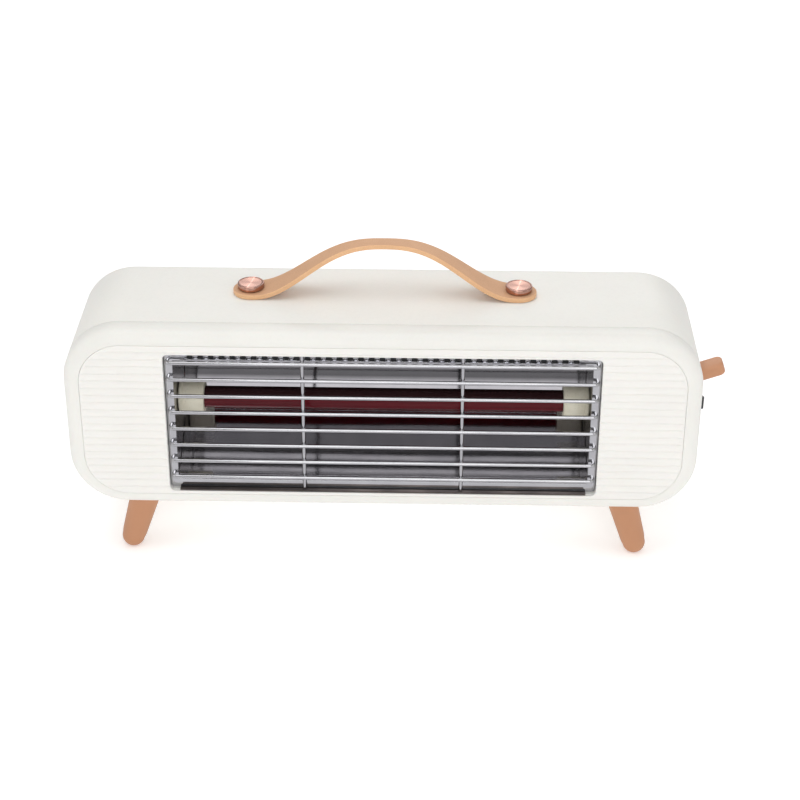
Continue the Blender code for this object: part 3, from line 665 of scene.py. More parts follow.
@dataclass
class Effects:
    """The effects that several finishes share."""

    grain: Effect
    mottle: Effect
    wear: Effect
    drawn: Effect
    spun: Effect
    dust: Effect

    @classmethod
    def build(cls) -> "Effects":
        """Builds every shared effect once."""
        return cls(
            grain=cls._grain(),
            mottle=cls._mottle(),
            wear=cls._wear(),
            drawn=cls._drawn(),
            spun=cls._spun(),
            dust=cls._dust(),
        )

    @staticmethod
    def _grain() -> Effect:
        """The fine pebble of a moulded or pressed surface, over a slower unevenness."""
        made = Effect(
            "fine grain",
            {"Size": (Socket.NUMBER, 0.0006), "Unevenness": (Socket.NUMBER, 0.3)},
            {"Height": Socket.NUMBER, "Speckle": Socket.NUMBER},
        )
        wall = made.wall
        place = wall.place()
        scale = wall.math("DIVIDE", 1.0, made.take("Size"))
        pebble = wall.noise(place, scale, 2.0)
        cells = wall.add("ShaderNodeTexVoronoi", {"feature": "SMOOTH_F1"}, Vector=place, Scale=scale)
        slow = wall.noise(place, wall.math("MULTIPLY", scale, 0.05), 2.0)
        rise = wall.math("MULTIPLY", pebble, 0.6)
        rise = wall.math("ADD", rise, wall.math("MULTIPLY", cells.outputs[0], 0.4))
        lift = wall.math("MULTIPLY", slow, made.take("Unevenness"))
        made.give("Height", wall.math("ADD", rise, lift))
        made.give("Speckle", wall.spread(pebble, 0.35, 0.65, 0.0, 1.0))
        return made

    @staticmethod
    def _mottle() -> Effect:
        """Slow changes of colour between two close tones."""
        made = Effect(
            "colour mottle",
            {
                "First": (Socket.COLOUR, (1, 1, 1, 1)),
                "Second": (Socket.COLOUR, (0.8, 0.8, 0.8, 1)),
                "Size": (Socket.NUMBER, 0.03),
            },
            {"Colour": Socket.COLOUR, "Share": Socket.NUMBER},
        )
        wall = made.wall
        cloud = wall.noise(wall.place(), wall.math("DIVIDE", 1.0, made.take("Size")), 5.0)
        share = wall.spread(cloud, 0.32, 0.68, 0.0, 1.0)
        made.give("Colour", wall.mix(share, made.take("First"), made.take("Second")))
        made.give("Share", share)
        return made

    @staticmethod
    def _wear() -> Effect:
        """Where hands and knocks have polished the edges, broken up a little."""
        made = Effect(
            "edge wear",
            {"Width": (Socket.NUMBER, 0.0006), "Strength": (Socket.NUMBER, 1.0)},
            {"Mask": Socket.NUMBER},
        )
        wall = made.wall
        rounded = wall.add("ShaderNodeBevel", {"samples": 4}, Radius=made.take("Width"))
        plain = wall.add("ShaderNodeNewGeometry").outputs["Normal"]
        likeness = wall.add("ShaderNodeVectorMath", {"operation": "DOT_PRODUCT"})
        wall.feed(likeness.inputs[0], rounded.outputs[0])
        wall.feed(likeness.inputs[1], plain)
        edge = wall.spread(likeness.outputs["Value"], 0.99, 0.8, 0.0, 1.0)
        patchy = wall.spread(wall.noise(wall.place(), 240.0, 4.0), 0.35, 0.7, 0.3, 1.0)
        share = wall.math("MULTIPLY", edge, patchy)
        made.give("Mask", wall.math("MULTIPLY", share, made.take("Strength"), True))
        return made

    @staticmethod
    def _drawn() -> Effect:
        """Fine lines along X, as rolled or drawn sheet has, over long shallow waves."""
        made = Effect(
            "drawn lines",
            {"Width": (Socket.NUMBER, 0.0004), "Waves": (Socket.NUMBER, 0.5)},
            {"Height": Socket.NUMBER, "Tone": Socket.NUMBER},
        )
        wall = made.wall
        scale = wall.math("DIVIDE", 1.0, made.take("Width"))
        lines = wall.noise(wall.stretched((0.012, 1.0, 1.0)), scale, 3.0)
        waves = wall.noise(wall.stretched((6.0, 30.0, 30.0)), 1.0, 2.0)
        ripple = wall.noise(wall.stretched((40.0, 160.0, 160.0)), 1.0, 1.0)
        lift = wall.math("ADD", wall.math("MULTIPLY", waves, 24.0), wall.math("MULTIPLY", ripple, 4.0))
        made.give("Height", wall.math("ADD", lines, wall.math("MULTIPLY", lift, made.take("Waves"))))
        made.give("Tone", wall.spread(lines, 0.3, 0.7, 0.0, 1.0))
        return made

    @staticmethod
    def _spun() -> Effect:
        """Fine rings about the piece's own Z, as a lathe leaves them."""
        made = Effect(
            "spun rings",
            {"Pitch": (Socket.NUMBER, 0.0002)},
            {"Height": Socket.NUMBER, "Tone": Socket.NUMBER},
        )
        wall = made.wall
        flat = wall.add("ShaderNodeVectorMath", {"operation": "MULTIPLY"})
        wall.feed(flat.inputs[0], wall.place())
        flat.inputs[1].default_value = (1, 1, 0)
        radius = wall.add("ShaderNodeVectorMath", {"operation": "LENGTH"})
        wall.feed(radius.inputs[0], flat.outputs[0])
        turns = wall.math("DIVIDE", radius.outputs["Value"], made.take("Pitch"))
        rings = wall.add("ShaderNodeTexNoise", {"noise_dimensions": "1D"}, W=turns, Scale=1.0, Detail=2.0)
        made.give("Height", rings.outputs["Fac"])
        made.give("Tone", wall.spread(rings.outputs["Fac"], 0.3, 0.7, 0.0, 1.0))
        return made

    @staticmethod
    def _dust() -> Effect:
        """Dust and grime that gather on upward faces and in small patches."""
        made = Effect(
            "settled dust",
            {"Amount": (Socket.NUMBER, 0.1), "Size": (Socket.NUMBER, 0.002)},
            {"Mask": Socket.NUMBER},
        )
        wall = made.wall
        normal = wall.add("ShaderNodeNewGeometry").outputs["Normal"]
        upward = wall.add("ShaderNodeSeparateXYZ", Vector=normal).outputs["Z"]
        fine = wall.noise(wall.place(), wall.math("DIVIDE", 1.0, made.take("Size")), 6.0)
        patch = wall.spread(fine, 0.45, 0.75, 0.0, 1.0)
        level = wall.spread(upward, -0.2, 1.0, 0.25, 1.0)
        share = wall.math("MULTIPLY", patch, level)
        made.give("Mask", wall.math("MULTIPLY", share, made.take("Amount"), True))
        return made


# ---- finishes


def with_alpha(colour: Colour) -> tuple[float, float, float, float]:
    """A colour with full opacity."""
    return (*colour, 1.0)


def toned(colour: Colour, gain: float, lift: float = 0.0) -> tuple[float, float, float, float]:
    """A colour made lighter or darker, with full opacity."""
    return with_alpha(tuple(min(1.0, part * gain + lift) for part in colour))


def adjust(shader: Node, **values: float) -> None:
    """Sets plain inputs of a shader by name, spaces written as underscores."""
    for key, value in values.items():
        shader.inputs[key.replace("_", " ")].default_value = value


def blank_material(name: str) -> tuple[Material, Wiring, Node]:
    """A new material, its wiring and its Principled shader."""
    material = bpy.data.materials.new(name)
    material.use_nodes = True
    return material, Wiring(material.node_tree), material.node_tree.nodes["Principled BSDF"]


@dataclass(frozen=True)
class MouldedPlastic:
    """Moulded plastic with a fine pebble, close tones, rubbed edges and a little dust."""

    name: str
    colour: Colour
    second: Colour
    roughness: float = 0.42
    grain: float = 0.0006
    depth: float = 0.00002
    worn: float = 0.25
    dust: float = 0.06
    subsurface: float = 0.0

    def make(self, effects: Effects) -> Material:
        """Builds the material.

        Args:
            effects: The shared effects.

        Returns:
            The finished material.
        """
        material, wall, shader = blank_material(self.name)
        tone = wall.tones(effects, self.colour, self.second, 0.035)
        grain = wall.effect(effects.grain, Size=self.grain)
        wear = wall.effect(effects.wear, Width=0.0007, Strength=self.worn)
        dust = wall.effect(effects.dust, Amount=self.dust)
        worn = wall.mix(wear.outputs["Mask"], tone.outputs["Colour"], toned(self.colour, 1.12, 0.03))
        grey = with_alpha((0.55, 0.53, 0.50))
        wall.feed(shader.inputs["Base Color"], wall.mix(dust.outputs["Mask"], worn, grey))
        rough = wall.spread(grain.outputs["Speckle"], 0.0, 1.0, self.roughness - 0.04, self.roughness + 0.05)
        polished = wall.math("MULTIPLY", wear.outputs["Mask"], -0.12)
        wall.feed(shader.inputs["Roughness"], wall.math("ADD", rough, polished, True))
        wall.bump(shader, 0.6, self.depth, grain.outputs["Height"])
        adjust(shader, Subsurface_Weight=self.subsurface, Subsurface_Scale=0.002, IOR=1.46)
        return material


@dataclass(frozen=True)
class BrightMetal:
    """Plated, polished or rolled metal with drawn lines, close tones and rubbed edges.

    Where the painted-shade share is above zero, the part above the piece's origin is darkened by that share,
    and its lower rear a little: painted shade and painted dark reflection in place of the shadow and the dark
    surroundings that the sheet mirrors.
    """

    name: str
    colour: Colour
    second: Colour
    roughness: float = 0.12
    lines: float = 0.0004
    waves: float = 0.0
    depth: float = 0.000004
    worn: float = 0.2
    painted_shade: float = 0.0

    def make(self, effects: Effects) -> Material:
        """Builds the material.

        Args:
            effects: The shared effects.

        Returns:
            The finished material.
        """
        material, wall, shader = blank_material(self.name)
        tone = wall.tones(effects, self.colour, self.second, 0.018)
        lines = wall.effect(effects.drawn, Width=self.lines, Waves=self.waves)
        wear = wall.effect(effects.wear, Width=0.0004, Strength=self.worn)
        metal = tone.outputs["Colour"]
        if self.painted_shade:
            # Painted shade and painted dark reflection: the upper part, and a little of the lower rear, are
            # mixed towards a dark tone.
            parts = wall.parts()
            sway = wall.math("MULTIPLY", wall.noise(wall.stretched((1.0, 0.2, 0.2)), 12.0, 2.0), 0.008)
            depth = wall.math("SUBTRACT", wall.math("ADD", parts["Y"], sway), 0.004)
            upper = wall.spread(parts["Z"], -0.004, 0.001, 0.0, self.painted_shade)
            lower = wall.spread(depth, -0.018, -0.012, self.painted_shade * 0.12, 0.0)
            share = wall.math("MAXIMUM", upper, lower)
            metal = wall.mix(share, metal, toned(self.second, 0.15))
        rubbed = wall.mix(wear.outputs["Mask"], metal, toned(self.colour, 1.1, 0.04))
        wall.feed(shader.inputs["Base Color"], rubbed)
        rough = wall.spread(lines.outputs["Tone"], 0.0, 1.0, self.roughness * 0.75, self.roughness * 1.25)
        smudge = wall.math("MULTIPLY", tone.outputs["Share"], self.roughness * 0.4)
        wall.feed(shader.inputs["Roughness"], wall.math("ADD", rough, smudge, True))
        wall.bump(shader, 1.0, self.depth, lines.outputs["Height"])
        adjust(shader, Metallic=1.0)
        return material


@dataclass(frozen=True)
class SpunMetal:
    """Turned metal with fine rings, a painted highlight streak across its middle at one angle and painted
    dark reflection in the sectors beside it.
    """

    name: str
    colour: Colour
    second: Colour
    roughness: float = 0.22
    pitch: float = 0.00022
    stretch: float = 0.8
    highlight_turn: float = math.radians(78)

    def make(self, effects: Effects) -> Material:
        """Builds the material.

        Args:
            effects: The shared effects.

        Returns:
            The finished material.
        """
        material, wall, shader = blank_material(self.name)
        rings = wall.effect(effects.spun, Pitch=self.pitch)
        wear = wall.effect(effects.wear, Width=0.0005, Strength=0.5)
        ringed = wall.mix(rings.outputs["Tone"], with_alpha(self.colour), with_alpha(self.second))
        # Painted highlight and painted reflection: a light streak at one angle across the face, with darker
        # sectors beside it.
        parts = wall.parts()
        turn = wall.math("ARCTAN2", parts["Y"], parts["X"])
        beat = wall.math("COSINE", wall.math("MULTIPLY", wall.math("SUBTRACT", turn, self.highlight_turn), 2.0))
        broad = wall.spread(beat, -1.0, 0.6, 0.0, 0.4)
        share = wall.math("ADD", broad, wall.spread(beat, 0.965, 0.995, 0.0, 0.6), True)
        painted_sheen = wall.mix(share, toned(self.second, 0.52), ringed)
        rubbed = wall.mix(wear.outputs["Mask"], painted_sheen, toned(self.colour, 1.08, 0.05))
        wall.feed(shader.inputs["Base Color"], rubbed)
        rough = wall.spread(rings.outputs["Tone"], 0.0, 1.0, self.roughness * 0.8, self.roughness * 1.2)
        wall.feed(shader.inputs["Roughness"], rough)
        wall.bump(shader, 0.5, 0.00001, rings.outputs["Height"])
        around = wall.add("ShaderNodeTangent", {"direction_type": "RADIAL", "axis": "Z"})
        wall.feed(shader.inputs["Tangent"], around.outputs["Tangent"])
        adjust(shader, Anisotropic=self.stretch, Metallic=1.0)
        return material


@dataclass(frozen=True)
class RubyGlass:
    """Deep red quartz with faint lengthwise streaks, darker on its upper side."""

    name: str = "ruby quartz"
    colour: Colour = (0.16, 0.005, 0.012)
    second: Colour = (0.10, 0.003, 0.009)
    coat: Colour = (0.035, 0.012, 0.014)

    def make(self, effects: Effects) -> Material:
        """Builds the material.

        Args:
            effects: The shared effects.

        Returns:
            The finished material.
        """
        material, wall, shader = blank_material(self.name)
        lines = wall.effect(effects.drawn, Width=0.0011, Waves=0.05)
        dust = wall.effect(effects.dust, Amount=0.1, Size=0.001)
        streaked = wall.mix(lines.outputs["Tone"], with_alpha(self.colour), with_alpha(self.second))
        # Darker towards the top: the upper side is mixed towards a dark tone.
        upper = wall.spread(wall.parts()["Z"], 0.0024, 0.0042, 0.0, 1.0)
        streaked = wall.mix(upper, streaked, with_alpha(self.coat))
        wall.feed(
            shader.inputs["Base Color"],
            wall.mix(dust.outputs["Mask"], streaked, with_alpha((0.16, 0.04, 0.04))),
        )
        wall.feed(shader.inputs["Roughness"], wall.spread(lines.outputs["Tone"], 0.0, 1.0, 0.07, 0.14))
        wall.bump(shader, 0.5, 0.000004, lines.outputs["Height"])
        adjust(shader, Transmission_Weight=0.15, Specular_IOR_Level=0.3, IOR=1.46)
        return material


@dataclass(frozen=True)
class PressedHide:
    """Strap hide: pressed grain with creases, and a smoother lighter side."""

    name: str
    colour: Colour
    second: Colour
    roughness: float = 0.55
    depth: float = 0.00005

    def make(self, effects: Effects) -> Material:
        """Builds the material.

        Args:
            effects: The shared effects.

        Returns:
            The finished material.
        """
        material, wall, shader = blank_material(self.name)
        tone = wall.tones(effects, self.colour, self.second, 0.012)
        grain = wall.effect(effects.grain, Size=0.0008, Unevenness=0.8)
        wear = wall.effect(effects.wear, Width=0.0010, Strength=0.6)
        creases = wall.add(
            "ShaderNodeTexVoronoi", {"feature": "DISTANCE_TO_EDGE"}, Vector=wall.place(), Scale=900.0
        )
        furrow = wall.spread(creases.outputs["Distance"], 0.0, 0.12, 0.0, 1.0)
        sunk = wall.spread(furrow, 0.0, 1.0, 0.55, 0.0)
        veined = wall.mix(sunk, tone.outputs["Colour"], toned(self.colour, 0.82))
        rubbed = wall.mix(wear.outputs["Mask"], veined, toned(self.colour, 1.12, 0.04))
        wall.feed(shader.inputs["Base Color"], rubbed)
        rough = wall.spread(furrow, 0.0, 1.0, self.roughness + 0.12, self.roughness)
        wall.feed(shader.inputs["Roughness"], rough)
        height = wall.math("ADD", furrow, wall.math("MULTIPLY", grain.outputs["Height"], 0.5))
        wall.bump(shader, 0.45, self.depth, height)
        adjust(shader, Sheen_Weight=0.08, Sheen_Roughness=0.4)
        return material


@dataclass(frozen=True)
class Fired:
    """Fired ceramic: a chalky cream body with fine pores."""

    name: str = "cream ceramic"
    colour: Colour = (0.88, 0.84, 0.70)
    second: Colour = (0.82, 0.77, 0.62)

    def make(self, effects: Effects) -> Material:
        """Builds the material.

        Args:
            effects: The shared effects.

        Returns:
            The finished material.
        """
        material, wall, shader = blank_material(self.name)
        tone = wall.tones(effects, self.colour, self.second, 0.006)
        grain = wall.effect(effects.grain, Size=0.0004)
        wear = wall.effect(effects.wear, Width=0.0006, Strength=0.4)
        pores = wall.add("ShaderNodeTexVoronoi", Vector=wall.place(), Scale=700.0)
        pit = wall.spread(pores.outputs["Distance"], 0.08, 0.22, 1.0, 0.0)
        soiled, rubbed = with_alpha((0.38, 0.32, 0.22)), with_alpha((0.86, 0.82, 0.70))
        pitted = wall.mix(wall.math("MULTIPLY", pit, 0.5), tone.outputs["Colour"], soiled)
        wall.feed(shader.inputs["Base Color"], wall.mix(wear.outputs["Mask"], pitted, rubbed))
        wall.feed(shader.inputs["Roughness"], wall.spread(grain.outputs["Speckle"], 0.0, 1.0, 0.55, 0.72))
        wall.bump(shader, 0.5, 0.00004, wall.math("SUBTRACT", grain.outputs["Height"], pit))
        return material


@dataclass
class Finishes:
    """Every finish of the heater, made once."""

    casing: Material
    panel: Material
    chrome: Material
    reflector: Material
    end_plate: Material
    sill: Material
    zinc: Material
    rose_gold: Material
    strap: Material
    strap_side: Material
    tan: Material
    ceramic: Material
    ruby: Material
    tungsten: Material
    black: Material
    lead: Material

    @classmethod
    def build(cls) -> "Finishes":
        """Builds the shared effects and every finish."""
        effects = Effects.build()
        return cls(
            casing=MouldedPlastic(
                "casing plastic", (0.86, 0.85, 0.81), (0.84, 0.83, 0.79), subsurface=0.04
            ).make(effects),
            panel=MouldedPlastic(
                "panel plastic", (0.89, 0.872, 0.838), (0.87, 0.852, 0.818), 0.45, subsurface=0.04
            ).make(effects),
            chrome=BrightMetal(
                "chrome wire", (0.62, 0.62, 0.64), (0.56, 0.56, 0.585), 0.09, depth=0.000002
            ).make(effects),
            # The reflector's upper part and lower rear carry painted shade.
            reflector=BrightMetal(
                "polished aluminium",
                (0.72, 0.705, 0.73),
                (0.64, 0.63, 0.66),
                0.06,
                waves=0.4,
                depth=0.000006,
                painted_shade=0.9,
            ).make(effects),
            end_plate=BrightMetal(
                "brushed aluminium", (0.40, 0.385, 0.37), (0.32, 0.31, 0.30), 0.18, waves=0.3, depth=0.000008
            ).make(effects),
            sill=BrightMetal(
                "burnished steel", (0.15, 0.125, 0.115), (0.11, 0.095, 0.09), 0.3, waves=0.3, depth=0.000006
            ).make(effects),
            zinc=BrightMetal(
                "zinc plate", (0.62, 0.63, 0.65), (0.52, 0.53, 0.54), 0.34, 0.0008, depth=0.00001
            ).make(effects),
            # The caps' streak and dark sectors are a painted highlight and painted reflection.
            rose_gold=SpunMetal("rose gold", (0.86, 0.52, 0.43), (0.74, 0.42, 0.34), 0.18).make(effects),
            strap=PressedHide("tan hide", (0.70, 0.405, 0.23), (0.65, 0.37, 0.21)).make(effects),
            strap_side=PressedHide(
                "tan hide side", (0.87, 0.52, 0.28), (0.82, 0.48, 0.255), 0.45, 0.00002
            ).make(effects),
            tan=MouldedPlastic(
                "tan plastic", (0.58, 0.285, 0.155), (0.53, 0.255, 0.135), 0.38, worn=0.35, dust=0.03
            ).make(effects),
            ceramic=Fired().make(effects),
            ruby=RubyGlass().make(effects),
            tungsten=BrightMetal("tungsten", (0.36, 0.34, 0.32), (0.28, 0.26, 0.24), 0.4).make(effects),
            black=MouldedPlastic(
                "black plastic", (0.028, 0.028, 0.032), (0.036, 0.036, 0.04), 0.36, worn=0.3, dust=0.05
            ).make(effects),
            lead=MouldedPlastic(
                "lead insulation", (0.70, 0.68, 0.64), (0.62, 0.60, 0.57), 0.6, grain=0.0004, dust=0.1
            ).make(effects),
        )


# ---- casing


@dataclass
class Casing:
    """The two halves of the shell, the rear cover and the cord gland."""

    shop: Workshop
    finishes: Finishes
    half_width: float = 200 * MM
    half_height: float = 62.5 * MM
    corner: float = 36 * MM
    front_fillet: float = 8 * MM
    rear_fillet: float = 6 * MM
    wall: float = 3 * MM
    rear_wall: float = 6 * MM
    seam_depth: float = 16 * MM
    seam_gap: float = 0.3 * MM
    shoulder: float = 9.5 * MM
    window_half_width: float = 189.8 * MM
    window_half_height: float = 53.6 * MM
    window_corner: float = 27.8 * MM
    cover_half_width: float = 165 * MM
    cover_half_height: float = 44 * MM
    cover_corner: float = 16 * MM
    cover_thick: float = 3 * MM
    slot_columns: int = 15
    slot_pitch: float = 12.5 * MM
    slot_width: float = 3.5 * MM
    slot_height: float = 22 * MM
    slot_row: float = 14 * MM
    gland_x: float = -140 * MM
    gland_drop: float = 24 * MM
    gland_hole: float = 7.3 * MM
    cover_ledge: float = 12 * MM
    screw_hole: float = 3.5 * MM
    screw_inset: Point = (10 * MM, 7 * MM)
    lever_slot_half: Point = (7 * MM, 7.7 * MM)
    lever_slot_middle: Point = (1.8 * MM, 111.1 * MM)

    def build(self) -> None:
        """Builds and dresses every piece of the casing."""
        self.build_frame()
        self.build_shell()
        self.build_cover()
        self.build_gland()
        self.build_screws()

    def _shell_ring(self, inset: float, y: float) -> list[Vector]:
        """The casing's outline moved inwards."""
        return self.shop.ring(self.half_width - inset, self.half_height - inset, self.corner - inset, y)

    def _window_ring(self, grow: float, y: float) -> list[Vector]:
        """The panel window's outline, made larger."""
        sizes = (self.window_half_width, self.window_half_height, self.window_corner)
        return self.shop.ring(*(size + grow for size in sizes), y)

    def _fillet(self, radius: float, step: int, face: float, way: int) -> list[list[Vector]]:
        """The broad rounding from the casing's side onto its front or rear face.

        Args:
            radius: The rounding's radius.
            step: The degrees between two rings.
            face: Where the face stands along Y.
            way: 1 where the casing lies behind the face, -1 where it lies in front.

        Returns:
            The rings from the side to the face.
        """
        rings = []
        for angle in range(0, 91, step):
            turn = math.radians(angle)
            depth = radius * (1 - math.sin(turn))
            rings.append(self._shell_ring(radius * (1 - math.cos(turn)), face + way * depth))
        return rings

    def _seam(self, y: float, way: int) -> list[list[Vector]]:
        """The small rounding where a half meets the other, from the joint outwards."""
        steps = ((0.9, 0.0), (0.35, 0.0), (0.12, 0.12), (0.0, 0.4))
        return [self._shell_ring(inset * MM, y + way * back * MM) for inset, back in steps]

    def build_frame(self) -> None:
        """The front half, with its broad soft edge and the window for the panel."""
        front = self.shop.datum.front
        seam = front + self.seam_depth - self.seam_gap / 2
        rings = self._seam(seam, -1) + self._fillet(self.front_fillet, 6, front, 1)
        lip = 0.4 * MM
        for angle in range(0, 91, 18):
            turn = math.radians(angle)
            rings.append(self._window_ring(lip * (1 - math.sin(turn)), front + lip * (1 - math.cos(turn))))
        back = front + self.shoulder
        rings.append(self._window_ring(0.0, back))
        rings.append(self._shell_ring(self.wall, back))
        rings.append(self._shell_ring(self.wall, seam))
        frame = self.shop.loft("casing_front", rings, closed=True)
        dress(frame, self.finishes.casing, Body.CASING, ["front_frame"])

    def build_shell(self) -> None:
        """The rear half, with the seat for the cover and the openings for the controls."""
        datum = self.shop.datum
        seam = datum.front + self.seam_depth + self.seam_gap / 2
        rings = self._seam(seam, 1) + self._fillet(self.rear_fillet, 9, datum.rear, -1)
        for grow, depth in ((0.9, 0.0), (0.42, 0.12), (0.3, 0.6)):
            rings.append(self._cover_ring(grow * MM, datum.rear - depth * MM))
        seat = datum.rear - self.cover_thick - self.seam_gap
        inner = datum.rear - self.rear_wall
        rings.append(self._cover_ring(self.seam_gap, seat))
        rings.append(self._cover_ring(-self.cover_ledge, seat))
        rings.append(self._cover_ring(-self.cover_ledge, inner))
        rings.append(self._shell_ring(self.wall, inner))
        rings.append(self._shell_ring(self.wall, seam))
        shell = self.shop.loft("casing_rear", rings, closed=True)
        self.shop.carve(shell, [self._lever_slot(), self._rocker_hole()], "DIFFERENCE")
        dress(shell, self.finishes.casing, Body.CASING, ["rear_shell"])

    def _cover_ring(self, grow: float, y: float) -> list[Vector]:
        """The cover's outline, made larger or smaller."""
        radius = max(self.cover_corner + grow, 4 * MM)
        return self.shop.ring(self.cover_half_width + grow, self.cover_half_height + grow, radius, y)

    def _flared(self, name: str, half: Point, radius: float, center: Point) -> Object:
        """A cutter through the right wall that opens out at the wall's face."""
        rings = []
        for depth, flare in ((-6, 0.0), (-0.6, 0.0), (-0.25, 0.1), (0, 0.35), (1, 1.35)):
            x, grow = self.half_width + depth * MM, flare * MM
            outline = rounded_rectangle(half[0] + grow, half[1] + grow, radius + grow, 6, center)
            rings.append([Vector((x, y, z)) for y, z in outline])
        return self.shop.loft(name, rings)

    def _lever_slot(self) -> Object:
        """The cutter for the lever's slot."""
        return self._flared("lever slot", self.lever_slot_half, 2 * MM, self.lever_slot_middle)

    def _rocker_hole(self) -> Object:
        """The cutter for the rocker's housing."""
        low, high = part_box("rocker_housing")
        center = ((low.y + high.y) / 2, (low.z + high.z) / 2)
        return self._flared("rocker hole", (9.8 * MM, 6.0 * MM), 1 * MM, center)

    def build_cover(self) -> None:
        """The rear cover with its two rows of upright slots."""
        datum = self.shop.datum
        center = (0, datum.middle_z)
        size = (self.cover_half_width, self.cover_half_height, self.cover_corner)
        outlines = [rounded_rectangle(*size, 16, center)]
        reach = (self.slot_height - self.slot_width) / 2
        for column in range(self.slot_columns):
            x = (column - (self.slot_columns - 1) / 2) * self.slot_pitch
            for row in (-1, 1):
                z = datum.middle_z + row * self.slot_row
                upper = arc((x, z + reach), self.slot_width / 2, 0, 180, 10)
                outlines.append(upper + arc((x, z - reach), self.slot_width / 2, 180, 360, 10))
        outlines.append(circle(self.gland_hole, 40, (self.gland_x, datum.middle_z - self.gland_drop)))
        outlines += [circle(self.screw_hole, 28, spot) for spot in self._screw_spots()]
        cover = self.shop.plate(
            "rear_cover", outlines, datum.rear - self.cover_thick, datum.rear, Facing.Y, 0.35 * MM
        )
        dress(cover, self.finishes.casing, Body.CASING, ["back_cover"])

    def _screw_spots(self) -> list[Point]:
        """Where the cover's screws stand."""
        reach_x = self.cover_half_width - self.screw_inset[0]
        reach_z = self.cover_half_height - self.screw_inset[1]
        middle = self.shop.datum.middle_z
        return [(sx * reach_x, middle + sz * reach_z) for sx in (-1, 1) for sz in (1, -1)]

    def build_gland(self) -> None:
        """The open bush in the cover, with a grooved collar."""
        datum = self.shop.datum
        profile = [(3.6, 2.9), (3.9, 3.2), (5.3, 3.2), (5.9, 3.0), (6.4, 2.4), (6.7, 1.9), (9.4, 1.8)]
        profile += [(9.85, 1.55), (10, 1.1), (10, 0.3), (7, 0.3), (7, -6), (3.6, -6)]
        spot = Matrix.Translation((self.gland_x, datum.rear, datum.middle_z - self.gland_drop))
        placement = spot @ Matrix.Rotation(-math.pi / 2, 4, "X")
        gland = self.shop.lathe("cord_bush", millimetres(profile), placement, 56)
        dress(gland, self.finishes.casing, Body.CASING, ["cord_gland"])

    def build_screws(self) -> None:
        """Four pan-head screws with cross recesses in the cover."""
        names = ("upper_left", "lower_left", "upper_right", "lower_right")
        head = [(0, -0.02), (1.4, -0.06), (2.3, -0.2), (2.9, -0.5), (3.2, -0.95), (3.2, -1.3)]
        head += [(1.5, -1.3), (1.5, -9), (0, -9.8)]
        for word, (x, z) in zip(names, self._screw_spots()):
            rear = self.shop.datum.rear
            placement = Matrix.Translation((x, rear, z)) @ Matrix.Rotation(-math.pi / 2, 4, "X")
            screw = self.shop.lathe(f"cover_screw_{word}", millimetres(head), placement, 40)
            self.shop.carve(screw, self._cross(x, z), "DIFFERENCE")
            dress(screw, self.finishes.zinc, Body.CASING, [f"back_cover_screw_{word}"])

    def _cross(self, x: float, z: float) -> list[Object]:
        """Two tapered blades that sink a cross recess."""
        blades = []
        rear = self.shop.datum.rear
        for turn in (0.3, 0.3 + math.pi / 2):
            c, s = math.cos(turn), math.sin(turn)
            rings = []
            for depth, reach, thick in ((0.5, 1.9, 0.34), (-1.1, 0.9, 0.2)):
                y = rear + depth * MM
                corners = [(-reach, -thick), (reach, -thick), (reach, thick), (-reach, thick)]
                turned = [(u * c - v * s, u * s + v * c) for u, v in millimetres(corners)]
                rings.append([Vector((x + across, y, z + up)) for across, up in turned])
            blades.append(self.shop.loft("blade", rings))
        return blades


